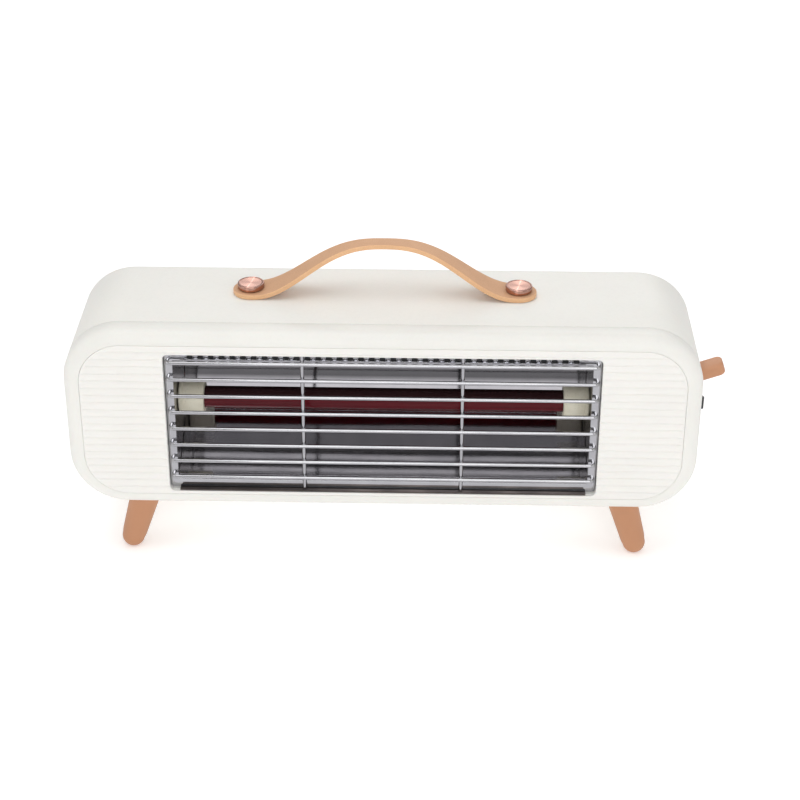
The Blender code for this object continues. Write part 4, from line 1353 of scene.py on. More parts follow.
@dataclass
class RibbedPanel:
    """The front panel of soft level ribs, with its opening."""

    shop: Workshop
    finishes: Finishes
    half_width: float = 189.68 * MM
    half_height: float = 53.48 * MM
    corner: float = 27.68 * MM
    opening_half_width: float = 136.5 * MM
    opening_half_height: float = 49.35 * MM
    opening_corner: float = 3.5 * MM
    opening_drop: float = 2.05 * MM
    pitch: float = 5.12 * MM
    depth: float = 0.8 * MM
    plate: float = 3 * MM
    fade: float = 2.2 * MM
    edge: float = 0.35 * MM

    def build(self) -> None:
        """Builds the ribbed face, its back, the skirt behind it and the collar in its opening."""
        shape = bmesh.new()
        rows = self._rows()
        front = [self._row(shape, z, True) for z in rows]
        back = [self._row(shape, z, False) for z in rows]
        for level, (z_low, z_high) in enumerate(zip(rows, rows[1:])):
            window = abs((z_low + z_high) / 2 + self.opening_drop) < self.opening_half_height
            for skin in (front, back):
                self._strip(shape, skin[level], skin[level + 1], window)
        self._close(shape, front, back)
        panel = self.shop.from_bmesh("ribbed_panel", shape)
        self.shop.gather(panel, [self._skirt(), self._collar()])
        dress(panel, self.finishes.panel, Body.CASING, ["front_panel"], 50)

    def _rows(self) -> list[float]:
        """The levels of the panel's mesh, close together at the rims and along each rib."""
        levels = set()
        step = self.pitch / 12
        count = int(self.half_height / step)
        for i in range(-count, count + 1):
            levels.add(round(i * step, 7))
        for back in (0, 0.05, 0.12, 0.25, 0.45, 0.7, 1.0, 1.5):
            for way in (-1, 1):
                levels.add(round(way * (self.half_height - back * MM), 7))
        for off in (-0.7, -0.4, -0.2, -0.08, 0, 0.08, 0.2, 0.4, 0.7):
            for way in (-1, 1):
                levels.add(round(way * (self.opening_half_height + off * MM) - self.opening_drop, 7))
        ordered = sorted(levels)
        kept = [ordered[0]]
        fixed = {round(way * self.half_height, 7) for way in (-1, 1)}
        fixed |= {round(way * self.opening_half_height - self.opening_drop, 7) for way in (-1, 1)}
        for level in ordered[1:]:
            if level - kept[-1] < 0.04 * MM:
                if level in fixed:
                    kept[-1] = level
                continue
            kept.append(level)
        return kept

    def _outline_reach(self, z: float) -> float:
        """Half the panel's width at one level."""
        straight = self.half_height - self.corner
        over = max(abs(z) - straight, 0)
        return self.half_width - self.corner + math.sqrt(max(self.corner**2 - over**2, 0))

    def _opening_reach(self, z: float) -> float:
        """Half the opening's width at one level, carried on above and below it."""
        straight = self.opening_half_height - self.opening_corner
        over = min(max(abs(z + self.opening_drop) - straight, 0), self.opening_corner)
        round_off = math.sqrt(self.opening_corner**2 - over**2)
        return self.opening_half_width - self.opening_corner + round_off

    def _row(self, shape: BMesh, z: float, face: bool) -> list[BMVert]:
        """The points of one level, from left to right."""
        outer, inner = self._outline_reach(z), self._opening_reach(z)
        half = []
        for off in (0, 0.06, 0.15, 0.3, 0.5, 0.8):
            half.append(inner + off * MM)
        rims = [0, 0.05, 0.12, 0.25, 0.45, 0.7, 1.1, 1.6, 2.3, 3.2]
        last = outer - rims[-1] * MM
        for part in range(1, 9):
            half.append(half[5] + (last - half[5]) * part / 9)
        half += [outer - back * MM for back in reversed(rims)]
        xs = [-x for x in reversed(half)] + half
        front = self.shop.datum.front
        middle = self.shop.datum.middle_z
        points = []
        for x in xs:
            y = front + (self._sink(x, z) if face else self.plate)
            points.append(shape.verts.new((x, y, middle + z)))
        return points

    def _sink(self, x: float, z: float) -> float:
        """How far the face lies behind the rib crests at one spot."""
        share = (z / self.pitch + 0.5) % 1.0
        rib = self.depth * (1 - math.sin(math.pi * share) ** 0.6)
        inside = self._inside(x, z, self.half_width, self.half_height, self.corner)
        opening = (self.opening_half_width, self.opening_half_height, self.opening_corner)
        open_side = -self._inside(x, z + self.opening_drop, *opening)
        rib *= smooth_step(inside / self.fade)
        return rib + self._roll(inside) + self._roll(max(open_side, 0))

    def _roll(self, distance: float) -> float:
        """The rounding of a rim at one distance inside it."""
        short = max(self.edge - distance, 0)
        return self.edge - math.sqrt(max(self.edge**2 - short**2, 0))

    @staticmethod
    def _inside(x: float, z: float, half_x: float, half_z: float, radius: float) -> float:
        """How far a point lies inside a rounded rectangle."""
        over_x, over_z = abs(x) - (half_x - radius), abs(z) - (half_z - radius)
        beyond = math.hypot(max(over_x, 0), max(over_z, 0))
        return radius - beyond - min(max(over_x, over_z), 0)

    @staticmethod
    def _strip(
        shape: BMesh,
        lower: list[BMVert],
        upper: list[BMVert],
        window: bool,
    ) -> None:
        """The faces between two levels, without the opening's."""
        middle = len(lower) // 2 - 1
        for i in range(len(lower) - 1):
            if window and i == middle:
                continue
            shape.faces.new((lower[i], lower[i + 1], upper[i + 1], upper[i]))

    @staticmethod
    def _close(
        shape: BMesh,
        front: list[list[BMVert]],
        back: list[list[BMVert]],
    ) -> None:
        """Joins the rims of the face to the rims of the back."""
        behind = {a: b for row, twin in zip(front, back) for a, b in zip(row, twin)}
        rims = [edge.verts[:] for edge in shape.edges if edge.is_boundary]
        for start, end in rims:
            if start in behind and end in behind:
                shape.faces.new((start, end, behind[end], behind[start]))

    def _skirt(self) -> Object:
        """The skirt and flange that seat the panel behind the frame."""
        slack = 0.01 * MM
        rings = []
        for grow, depth in millimetres(((0, 2.0), (0, 9.8), (4, 9.8), (4, 11.5), (-2.5, 11.5), (-2.5, 2.0))):
            half_x, half_z = self.half_width + grow - slack, self.half_height + grow - slack
            rings.append(self.shop.ring(half_x, half_z, self.corner + grow, self.shop.datum.front + depth))
        return self.shop.loft("skirt", rings, closed=True)

    def _collar(self) -> Object:
        """The collar round the opening that reaches back to the guard."""
        opening = (self.opening_half_width, self.opening_half_height, self.opening_corner)
        rings = []
        for grow, depth in millimetres(((0.01, 0.6), (0.01, 4.65), (1.2, 4.65), (1.2, 1.6))):
            sizes = [size + grow for size in opening]
            rings.append(self.shop.ring(*sizes, self.shop.datum.front + depth, 12, self.opening_drop))
        return self.shop.loft("collar", rings, closed=True)


# ---- guard


@dataclass
class WireGuard:
    """The chrome wires and the bezel that holds them."""

    shop: Workshop
    finishes: Finishes
    wire: float = 2.5 * MM
    plane: float = 1.3 * MM
    count: int = 8
    pitch: float = 11.76 * MM
    end: float = 134.1 * MM
    bend: float = 2.2 * MM
    upright_x: float = 50 * MM
    face: float = 4.8 * MM
    sheet: float = 0.8 * MM
    tray: float = 8 * MM
    half_width: float = 136.2 * MM
    half_height: float = 48.95 * MM
    drop: float = 2.05 * MM
    holes: int = 37
    hole_pitch: float = 6.667 * MM
    hole_level: float = 43.5 * MM
    hole_half: Point = (1.75 * MM, 1.3 * MM)
    window_low: float = -45 * MM
    window_high: float = 41.1 * MM
    window_side: float = 131 * MM
    upright_top: float = 46.7 * MM
    strip_half: float = 130 * MM
    shade_strip_half: float = 132 * MM

    def build(self) -> None:
        """Builds the wires and the bezel."""
        self.build_wires()
        self.build_bezel()

    def build_wires(self) -> None:
        """Eight level wires welded in front of two uprights."""
        front = self.shop.datum.front
        middle = self.shop.datum.middle_z
        back = front + self.face + 0.4 * MM
        upright_y = front + self.plane + self.wire - 0.35 * MM
        wires = []
        for index in range(self.count):
            z = middle + (index - (self.count - 1) / 2) * self.pitch
            corner = arc((self.end - self.bend, front + self.plane + self.bend), self.bend, -90, 0, 8)
            half = [(x, y, z) for x, y in corner] + [(self.end, back, z)]
            points = [(-x, y, level) for x, y, level in reversed(half)] + half
            wires.append(self.shop.wire("level wire", points, self.wire / 2))
            for side in Side:
                spot = Vector((side.value * self.upright_x, upright_y - self.wire / 2 + 0.2 * MM, z))
                wires.append(self._weld(spot))
        low = middle - self.drop - self.half_height + self.sheet + 0.3 * MM
        for side in Side:
            x = side.value * self.upright_x
            ends = [(x, upright_y, low), (x, upright_y, middle + self.upright_top)]
            wires.append(self.shop.wire("upright wire", ends, self.wire / 2))
        guard = wires[0]
        guard.name = "guard_wires"
        self.shop.gather(guard, wires[1:])
        dress(guard, self.finishes.chrome, Body.CASING, ["wire_grille"])

    def _weld(self, spot: Vector) -> Object:
        """The small bead where two wires are welded."""
        shape = bmesh.new()
        size = Matrix.Diagonal((1.55 * MM, 0.75 * MM, 1.45 * MM, 1))
        bmesh.ops.create_icosphere(shape, subdivisions=2, radius=1, matrix=Matrix.Translation(spot) @ size)
        return self.shop.from_bmesh("weld", shape)

    def build_bezel(self) -> None:
        """The bezel: perforated face, tray, sill, the seal over it and a black strip behind the holes that
        paints the shade there.
        """
        datum = self.shop.datum
        middle, face = datum.middle_z, datum.front + self.face
        center = (0, middle - self.drop)
        outer = rounded_rectangle(self.half_width, self.half_height, 3 * MM, 8, center)
        low, high = middle + self.window_low, middle + self.window_high
        window = rounded_rectangle(self.window_side, (high - low) / 2, 0.5 * MM, 3, (0, (high + low) / 2))
        outlines = [outer, window]
        for index in range(self.holes):
            spot = ((index - (self.holes - 1) / 2) * self.hole_pitch, middle + self.hole_level)
            outlines.append(rounded_rectangle(*self.hole_half, 0.9 * MM, 5, spot))
        back = face + self.sheet
        bezel = self.shop.plate("guard_bezel", outlines, face, back, Facing.Y, 0.18 * MM)
        inner = rounded_rectangle(
            self.half_width - self.sheet, self.half_height - self.sheet, 2.2 * MM, 8, center
        )
        tray_back = face + self.tray
        tray = self.shop.plate("tray", [outer, inner], back - self.sheet / 2, tray_back, Facing.Y, 0.15 * MM)
        base = middle - self.drop - self.half_height
        sill_front = datum.front + 0.4 * MM
        sill = self._strip("sill", (sill_front, base), (back, base + self.sheet), self.strip_half, 0.15 * MM)
        # The black strip behind the perforations is painted shade: it stands where the gap between the bezel
        # and the reflector lies in shadow.
        near, far = (back + 0.5 * MM, high + 0.15 * MM), (back + 1.0 * MM, high + 4.2 * MM)
        shade_strip = self._strip("shade_strip", near, far, self.shade_strip_half, 0.05 * MM)
        near, far = (back - 1.5 * MM, base + 0.85 * MM), (back - 0.9 * MM, base + 1.4 * MM)
        seal = self._strip("seal", near, far, self.strip_half, 0.05 * MM)
        bezel.data.materials.append(self.finishes.chrome)
        self.shop.gather(bezel, [tray])
        self._join(bezel, sill, self.finishes.sill)
        self.shop.gather(shade_strip, [seal])
        self._join(bezel, shade_strip, self.finishes.black)
        dress(bezel, self.finishes.chrome, Body.CASING, ["grille_frame"])

    def _strip(self, name: str, near: Point, far: Point, half: float, edge: float) -> Object:
        """A straight bar along X.

        Args:
            name: The bar's name.
            near: The front lower corner of its section, as (y, z).
            far: The rear upper corner.
            half: Half its length.
            edge: The rim radius.

        Returns:
            The bar.
        """
        section = [near, (far[0], near[1]), far, (near[0], far[1])]
        return self.shop.plate(name, [section], -half, half, Facing.X, edge)

    def _join(self, piece: Object, other: Object, material: Material) -> None:
        """Adds another mesh to a piece with a finish of its own.

        Args:
            piece: The piece.
            other: The mesh that joins it, which is used up.
            material: That mesh's finish.
        """
        first = len(piece.data.polygons)
        self.shop.gather(piece, [other])
        piece.data.materials.append(material)
        for polygon in piece.data.polygons[first:]:
            polygon.material_index = len(piece.data.materials) - 1


# ---- heating element


@dataclass
class HeatingElement:
    """The reflector, the ruby tube, the coil and the ceramic holders."""

    shop: Workshop
    finishes: Finishes
    tube_y: float = -16.7 * MM
    tube_radius: float = 7 * MM
    tube_bore: float = 5.5 * MM
    tube_half: float = 128 * MM
    coil_radius: float = 3.2 * MM
    coil_wire: float = 0.9 * MM
    coil_turns: int = 16
    coil_half: float = 108 * MM
    reflector_half: float = 131.4 * MM
    reflector_sheet: float = 0.8 * MM
    holder_radius: float = 11.5 * MM
    holder_neck: float = 8 * MM
    holder_inner: float = 115 * MM
    neck_tip: float = 142 * MM

    def build(self) -> None:
        """Builds and dresses every piece of the element."""
        self.build_reflector()
        self.build_tube()
        self.build_coil()
        for side in Side:
            self.build_holder(side)

    def _section(self) -> list[Point]:
        """The reflecting face's section, from the top front edge round to the bottom one."""
        upper = [(-42.5, 42.6), (-20, 39.5), (2, 29), (12, 13)]
        corners = upper + [(y, -z) for y, z in reversed(upper)]
        middle = self.shop.datum.middle_z
        path = [(y * MM, middle + z * MM) for y, z in corners]
        fine = rounded_path(path, 11 * MM, 10)
        dense = []
        for start, end in zip(fine, fine[1:]):
            gap = math.dist(start, end)
            parts = max(1, round(gap / (3 * MM)))
            for i in range(parts):
                t = i / parts
                dense.append((start[0] + (end[0] - start[0]) * t, start[1] + (end[1] - start[1]) * t))
        return dense + [fine[-1]]

    def build_reflector(self) -> None:
        """The polished sheet behind the tube, with the faint waves of thin metal."""
        section = self._section()
        normals = []
        for i in range(len(section)):
            before, after = Vector(section[max(i - 1, 0)]), Vector(section[min(i + 1, len(section) - 1)])
            run = (after - before).normalized()
            normals.append(Vector((-run.y, run.x)))
        columns = 96
        shape = bmesh.new()
        sheets = []
        for depth in (0.0, self.reflector_sheet):
            rows = []
            for column in range(columns + 1):
                x = self.reflector_half * (2 * column / columns - 1)
                row = []
                for (y, z), normal in zip(section, normals):
                    wave = noise.noise(Vector((x * 11, y * 40, z * 40)) + Vector((3.7, 0, 0)))
                    spot = Vector((y, z)) + normal * (depth + 0.06 * MM + wave * 0.09 * MM)
                    row.append(shape.verts.new((x, spot.x, spot.y)))
                rows.append(row)
            sheets.append(rows)
            for first, second in zip(rows, rows[1:]):
                for i in range(len(section) - 1):
                    shape.faces.new((first[i], first[i + 1], second[i + 1], second[i]))
        bmesh.ops.bridge_loops(shape, edges=[edge for edge in shape.edges if edge.is_boundary])
        # The origin at the casing's middle height sets where the painted shade on the reflector's upper part
        # starts.
        origin = Vector((0, 0, self.shop.datum.middle_z))
        reflector = self.shop.from_bmesh("reflector_sheet", shape, origin=origin)
        dress(reflector, self.finishes.reflector, Body.CASING, ["reflector"], 40)

    def _along(self, side: Side = Side.RIGHT) -> Matrix:
        """A placement on the tube's axis whose own Z points to one side."""
        spot = Matrix.Translation((0, self.tube_y, self.shop.datum.middle_z))
        return spot @ Matrix.Rotation(side.value * math.pi / 2, 4, "Y")

    def build_tube(self) -> None:
        """The quartz tube, open at both ends, with fire-polished rims."""
        reach, outer, bore = self.tube_half, self.tube_radius, self.tube_bore
        lip = 0.35 * MM
        profile = [(bore + lip, reach), (outer - lip, reach), (outer, reach - lip)]
        for part in range(1, 40):
            profile.append((outer, (reach - lip) * (1 - part / 20)))
        profile += [(outer, -reach + lip), (outer - lip, -reach), (bore + lip, -reach), (bore, -reach + lip)]
        profile.append((bore, reach - lip))
        axis = Vector((0, self.tube_y, self.shop.datum.middle_z))
        tube = self.shop.lathe("ruby_tube", profile, self._along(), 64, origin=axis)
        dress(tube, self.finishes.ruby, Body.CASING, ["quartz_tube"])

    def build_coil(self) -> None:
        """The coil with its straight tails through both holders."""
        steps = 20
        middle = self.shop.datum.middle_z
        lead = self.coil_half + 4 * MM
        points = [(-self.neck_tip + 0.3 * MM, self.tube_y, middle), (-lead, self.tube_y, middle)]
        for index in range(self.coil_turns * steps + 1):
            share = index / (self.coil_turns * steps)
            turn = math.tau * index / steps
            y = self.tube_y + self.coil_radius * math.sin(turn)
            z = middle + self.coil_radius * math.cos(turn)
            points.append((-self.coil_half + 2 * self.coil_half * share, y, z))
        points += [(lead, self.tube_y, middle), (self.neck_tip - 0.3 * MM, self.tube_y, middle)]
        coil = self.shop.wire("tungsten_coil", points, self.coil_wire / 2)
        dress(coil, self.finishes.tungsten, Body.CASING, ["heating_filament"])

    def build_holder(self, side: Side) -> None:
        """A ceramic collar over the tube's end, with softened rims and a shallow groove."""
        shoulder, seat = self.reflector_half - 0.3 * MM, self.tube_half + 0.3 * MM
        outer, neck, inner = self.holder_radius, self.holder_neck, self.holder_inner
        rim = 0.6 * MM
        hollow = self.tube_radius + 0.3 * MM
        profile = [(2 * MM, self.neck_tip), (neck - rim, self.neck_tip), (neck, self.neck_tip - rim)]
        profile += [(neck, shoulder), (outer - rim, shoulder), (outer - 0.18 * MM, shoulder - 0.18 * MM)]
        profile += [(outer, shoulder - rim), (outer, shoulder - 2.2 * MM)]
        profile += [(outer - 0.25 * MM, shoulder - 2.5 * MM), (outer, shoulder - 2.8 * MM)]
        profile += [(outer, inner + 1.1 * MM), (outer - 0.3 * MM, inner + 0.35 * MM)]
        profile += [(outer - 1 * MM, inner), (hollow + 0.4 * MM, inner), (hollow, inner + 0.4 * MM)]
        profile += [(hollow, seat), (2 * MM, seat)]
        holder = self.shop.lathe(f"tube_holder_{side.word}", profile, self._along(side), 56)
        node = f"ceramic_holder_{side.word}"
        dress(holder, self.finishes.ceramic, Body.CASING, [node])


# ---- handle


@dataclass
class StrapHandle:
    """The arched strap and its two spun caps."""

    shop: Workshop
    finishes: Finishes
    top: float = 36.7 * MM
    thick: float = 3 * MM
    wide: float = 22.8 * MM
    narrow: float = 11 * MM
    half_span: float = 82.5 * MM
    shape: float = 1.3
    rivet_x: float = 85.4 * MM
    rivet_y: float = 8.7 * MM
    cap_radius: float = 8.5 * MM
    cap_height: float = 4 * MM
    stud: float = 2.5 * MM
    edge: float = 0.4 * MM

    def build(self) -> None:
        """Builds the strap and both caps."""
        self.build_strap()
        for side in Side:
            self.build_cap(side)

    def _rise(self, x: float) -> float:
        """Height of the strap's upper face above the casing."""
        share = min(abs(x) / self.half_span, 1)
        lift = self.top - self.thick - 0.3 * MM
        return self.thick + 0.3 * MM + lift * 0.5 * (1 + math.cos(math.pi * share**self.shape))

    def _bent(self, x: float, y: float, drop: float) -> Vector:
        """A point of the flat strap, carried onto the arch."""
        step = 0.1 * MM
        slope = (self._rise(x + step) - self._rise(x - step)) / (2 * step)
        lean = Vector((-slope, 1)).normalized()
        height = self.shop.datum.top + self._rise(x)
        return Vector((x - lean.x * drop, self.rivet_y + y, height - lean.y * drop))

    def _plan(self) -> list[tuple[float, float]]:
        """Half the flat outline, from the right tip to the left one: places and half widths."""
        radius = self.wide / 2
        points = []
        for step in range(17):
            turn = math.pi / 2 * step / 16
            points.append((self.rivet_x + radius * math.cos(turn), radius * math.sin(turn)))
        parts = 96
        for step in range(1, parts):
            x = self.rivet_x * (1 - 2 * step / parts)
            spread = math.sin(math.pi / 2 * abs(x) / self.rivet_x) ** 2
            points.append((x, (self.narrow + (self.wide - self.narrow) * spread) / 2))
        return points + [(-x, half) for x, half in reversed(points[:17])]

    def build_strap(self) -> None:
        """The strap with rounded edges, hide on its faces and a lighter side."""
        plan = self._plan()
        outline = [Vector(point) for point in plan] + [Vector((x, -half)) for x, half in reversed(plan[1:-1])]
        count = len(outline)
        normals = []
        for i, point in enumerate(outline):
            run = (outline[(i + 1) % count] - outline[i - 1]).normalized()
            normals.append(Vector((run.y, -run.x)))
        turns = [math.radians(angle) for angle in (0, 30, 60, 90)]
        stops = [(self.edge * (1 - math.sin(turn)), self.edge * (1 - math.cos(turn))) for turn in turns]
        rings = stops + [(0.0, self.thick / 2)]
        rings += [(inset, self.thick - drop) for inset, drop in reversed(stops)]
        shape = bmesh.new()
        loops = []
        for inset, drop in rings:
            loop = []
            for point, normal in zip(outline, normals):
                spot = point - normal * inset
                loop.append(shape.verts.new(self._bent(spot.x, spot.y, drop)))
            loops.append(loop)
        for level, (first, second) in enumerate(zip(loops, loops[1:])):
            for i in range(count):
                j = (i + 1) % count
                face = shape.faces.new((first[i], first[j], second[j], second[i]))
                face.material_index = 1 if 0 < level < len(loops) - 2 else 0
        self._fill_face(shape, loops[0], len(plan) - 1)
        self._fill_face(shape, loops[-1], len(plan) - 1)
        strap = self.shop.from_bmesh("strap", shape)
        strap.data.materials.append(self.finishes.strap)
        strap.data.materials.append(self.finishes.strap_side)
        for side in Side:
            placement = Matrix.Translation(self._rivet_spot(side))
            self.shop.drill(strap, placement, self.stud + 0.4 * MM, (20 * MM, -10 * MM), 32)
        dress(strap, self.finishes.strap, Body.CASING, ["strap_handle"], 60)

    def _rivet_spot(self, side: Side) -> Vector:
        """Where a cap's axis meets the casing."""
        return Vector((side.value * self.rivet_x, self.rivet_y, self.shop.datum.top))

    @staticmethod
    def _fill_face(shape: BMesh, loop: list[BMVert], last: int) -> None:
        """Fills one face of the strap with rows across it.

        Args:
            shape: The strap's mesh.
            loop: The face's rim.
            last: The rim's index of the left tip; the right tip is its first point.
        """
        across = 8
        rows = []
        for i in range(last + 1):
            if i in (0, last):
                rows.append([loop[i]] * (across + 1))
                continue
            upper, lower = loop[i], loop[len(loop) - i]
            inner = [shape.verts.new(upper.co.lerp(lower.co, part / across)) for part in range(1, across)]
            rows.append([upper, *inner, lower])
        for first, second in zip(rows, rows[1:]):
            for part in range(across):
                corners = [first[part], first[part + 1], second[part + 1], second[part]]
                shape.faces.new(list(dict.fromkeys(corners)))

    def build_cap(self, side: Side) -> None:
        """A dished, spun cap with a rolled rim, on its stud."""
        seat = self.thick + 1.0 * MM
        top = seat + self.cap_height - 0.6 * MM
        radius, roll, dish = self.cap_radius, 0.7 * MM, 0.28 * MM
        foot = -9 * MM
        profile = [(0.0, top - dish)]
        for part in range(1, 12):
            share = part / 12
            profile.append(((radius - 1.1 * MM) * share, top - dish + 0.12 * MM * share**2))
        profile += [(radius - 1.1 * MM, top - 0.14 * MM), (radius - 1.0 * MM, top - 0.03 * MM)]
        profile += [(radius - 0.85 * MM, top), (radius - roll, top - 0.02 * MM)]
        for angle in (15, 35, 55, 75, 90):
            turn = math.radians(angle)
            sunk = roll * (1 - math.cos(turn)) + 0.02 * MM
            profile.append((radius - roll * (1 - math.sin(turn)), top - sunk))
        profile += [(radius, seat + 0.4 * MM), (radius - 0.12 * MM, seat + 0.12 * MM)]
        profile += [(radius - 0.4 * MM, seat), (self.stud, seat), (self.stud, foot + 0.6 * MM)]
        profile += [(self.stud - 0.6 * MM, foot), (0, foot)]
        spot = self._rivet_spot(side)
        name = f"handle_rivet_{side.word}"
        cap = self.shop.lathe(name, profile, Matrix.Translation(spot), 96, origin=spot)
        dress(cap, self.finishes.rose_gold, Body.CASING, [f"handle_cap_{side.word}"], 50)


# ---- legs


@dataclass
class Legs:
    """Four tapered legs that splay outwards."""

    shop: Workshop
    finishes: Finishes
    reach_x: float = 154.7 * MM
    reach_y: float = 28.8 * MM
    splay: float = math.radians(17)
    rake: float = math.radians(8)
    top_radius: float = 9.9 * MM
    tip_radius: float = 7.4 * MM

    def build(self) -> None:
        """Builds the four legs."""
        for end, way in (("front", -1), ("rear", 1)):
            for side in Side:
                self.build_leg(end, way, side)

    def build_leg(self, end: str, way: int, side: Side) -> None:
        """One leg, trimmed level under the casing and flat on the floor.

        Args:
            end: The end's word in the piece's name.
            way: The end's way along Y.
            side: The side that it stands on.
        """
        height = self.shop.datum.underside
        length = height / (math.cos(self.splay) * math.cos(self.rake))
        overrun = 8 * MM
        slope = (self.top_radius - self.tip_radius) / length
        profile = [(0.0, overrun)]
        for part in range(13):
            share = part / 12
            drop = overrun - share * (overrun + length - self.tip_radius + 0.3 * MM)
            profile.append((self.top_radius + slope * drop, drop))
        center = -length + self.tip_radius - 0.3 * MM
        profile[-1] = (self.tip_radius, center)
        profile += arc((0, center), self.tip_radius, 0, -90, 14)[1:-1] + [(0.0, center - self.tip_radius)]
        lean = Vector((side.value * math.tan(self.splay), way * math.tan(self.rake), -1)).normalized()
        turn = (-lean).to_track_quat("Z", "Y").to_matrix().to_4x4()
        spot = Vector((side.value * self.reach_x, way * self.reach_y, height))
        leg = self.shop.lathe(f"foot_{end}_{side.word}", profile, Matrix.Translation(spot) @ turn, 56)
        slab = self.shop.plate(
            "slab", [[(-0.3, -0.2), (0.3, -0.2), (0.3, 0.2), (-0.3, 0.2)]], 0, height - 0.3 * MM, Facing.Z
        )
        self.shop.carve(leg, [slab], "INTERSECT")
        dress(leg, self.finishes.tan, Body.CASING, [f"leg_{end}_{side.word}"])


# ---- controls


@dataclass
class Controls:
    """The side lever, the rocker and its housing."""

    shop: Workshop
    finishes: Finishes
    lever_pivot: Vector = Vector((189 * MM, 1.8 * MM, 109.8 * MM))
    lever_tilt: float = math.radians(20)
    lever_reach: float = 219.3 * MM
    lever_depth: float = 13 * MM
    lever_thick: float = 8.4 * MM
    lever_round: float = 1.9 * MM
    lever_bore: float = 1.8 * MM
    rocker_pivot: Vector = Vector((202 * MM, 1.5 * MM, 95.6 * MM))
    rocker_tilt: float = math.radians(9)
    rocker_length: float = 7.6 * MM
    rocker_height: float = 4.4 * MM
    pin_depth: float = 2.4 * MM
    pin_bore: float = 1.1 * MM
    pin_half: float = 5.4 * MM

    def build(self) -> None:
        """Builds the lever, the rocker and the housing."""
        self.build_lever()
        self.build_rocker()
        self.build_housing()

    def build_lever(self) -> None:
        """A paddle with a broad round-over on a round hub."""
        reach = (self.lever_reach - self.lever_pivot.x) / math.cos(self.lever_tilt) - 0.5 * MM
        half, thick = self.lever_depth / 2, self.lever_thick / 2
        rings = []
        for angle in range(-90, 91, 15):
            turn = math.radians(angle)
            inset = self.lever_round * (1 - math.cos(turn))
            flat = math.copysign(thick - self.lever_round, angle) if angle else 0.0
            level = flat + self.lever_round * math.sin(turn)
            outline = [(0.0, -half + inset)]
            outline += arc((reach - 4 * MM, -half + 4 * MM), 4 * MM - inset, -90, 0, 10)
            outline += arc((reach - 4 * MM, half - 4 * MM), 4 * MM - inset, 0, 90, 10)
            outline.append((0.0, half - inset))
            rings.append([Vector((x, y, level)) for x, y in outline])
        lever = self.shop.loft("lever_paddle", rings)
        hub_profile = [(1.8, 7.3), (2.0, 7.5), (6.9, 7.5), (7.3, 7.3), (7.5, 6.9), (7.5, -6.9), (7.3, -7.3)]
        hub_profile += [(6.9, -7.5), (2.0, -7.5), (1.8, -7.3)]
        across = Matrix.Rotation(math.pi / 2, 4, "X")
        hub = self.shop.lathe("hub", millimetres(hub_profile), across, 48)
        self.shop.drill(lever, across, self.lever_bore, (20 * MM, -20 * MM), 32)
        self.shop.gather(lever, [hub])
        tilt = Matrix.Rotation(-self.lever_tilt, 4, "Y")
        lever.data.transform(tilt)
        lever.matrix_world = self.shop.datum.shift() @ Matrix.Translation(self.lever_pivot)
        dress(lever, self.finishes.tan, Body.LEVER, ["side_lever"])

    def build_rocker(self) -> None:
        """A see-saw button with two dished faces and rounded edges."""
        length = self.rocker_length / MM
        side_view = [(2.8, 0), (2.95, 1.5), (3.4, 3.5), (4.0, 5.6), (4.4, length - 0.6), (4.0, length)]
        side_view += [(-0.6, length), (-4, 3), (-4, -3), (-0.6, -length), (4.0, -length)]
        side_view += [(4.4, -length + 0.6), (4.0, -5.6), (3.4, -3.5), (2.95, -1.5)]
        height = self.rocker_height
        rocker = self.shop.plate("rocker_button", [millimetres(side_view)], -height, height, Facing.Z)
        self.shop.soften(rocker, 0.35 * MM, 3, 30)
        pin = Vector((-self.pin_depth, 0, 0))
        rocker.data.transform(Matrix.Translation(-pin))
        rocker.data.transform(Matrix.Rotation(self.rocker_tilt, 4, "Z"))
        rocker.matrix_world = self.shop.datum.shift() @ Matrix.Translation(self.rocker_pivot + pin)
        spot = Matrix.Translation(self.rocker_pivot + pin)
        self.shop.drill(rocker, spot, self.pin_bore, (20 * MM, -20 * MM))
        dress(rocker, self.finishes.black, Body.ROCKER, ["power_rocker"])

    def build_housing(self) -> None:
        """The rocker's housing with its thin rounded flange."""
        pivot = self.rocker_pivot
        center = (pivot.y, pivot.z)
        back, face, rim = 186 * MM, 200.3 * MM, 1.2 * MM
        rings = []
        plan = [(9.5, 5.7, 0.8, back), (9.5, 5.7, 0.8, face), (10.5, 6.6, 1.2, face)]
        plan += [(10.5, 6.6, 1.2, face + rim - 0.4 * MM), (10.38, 6.48, 1.1, face + rim - 0.12 * MM)]
        plan += [(10.1, 6.2, 0.9, face + rim), (8.9, 5.05, 0.7, face + rim)]
        plan += [(8.6, 4.75, 0.5, face + rim - 0.3 * MM), (8.6, 4.75, 0.5, back + 2 * MM)]
        for half_y, half_z, radius, x in plan:
            outline = rounded_rectangle(half_y * MM, half_z * MM, radius * MM, 8, center)
            rings.append([Vector((x, y, z)) for y, z in outline])
        housing = self.shop.loft("rocker_bezel", rings)
        spot = Matrix.Translation((pivot.x - self.pin_depth, pivot.y, pivot.z))
        self.shop.drill(housing, spot, self.pin_bore, (self.pin_half, -self.pin_half))
        dress(housing, self.finishes.black, Body.CASING, ["rocker_housing"])


# ---- parts inside


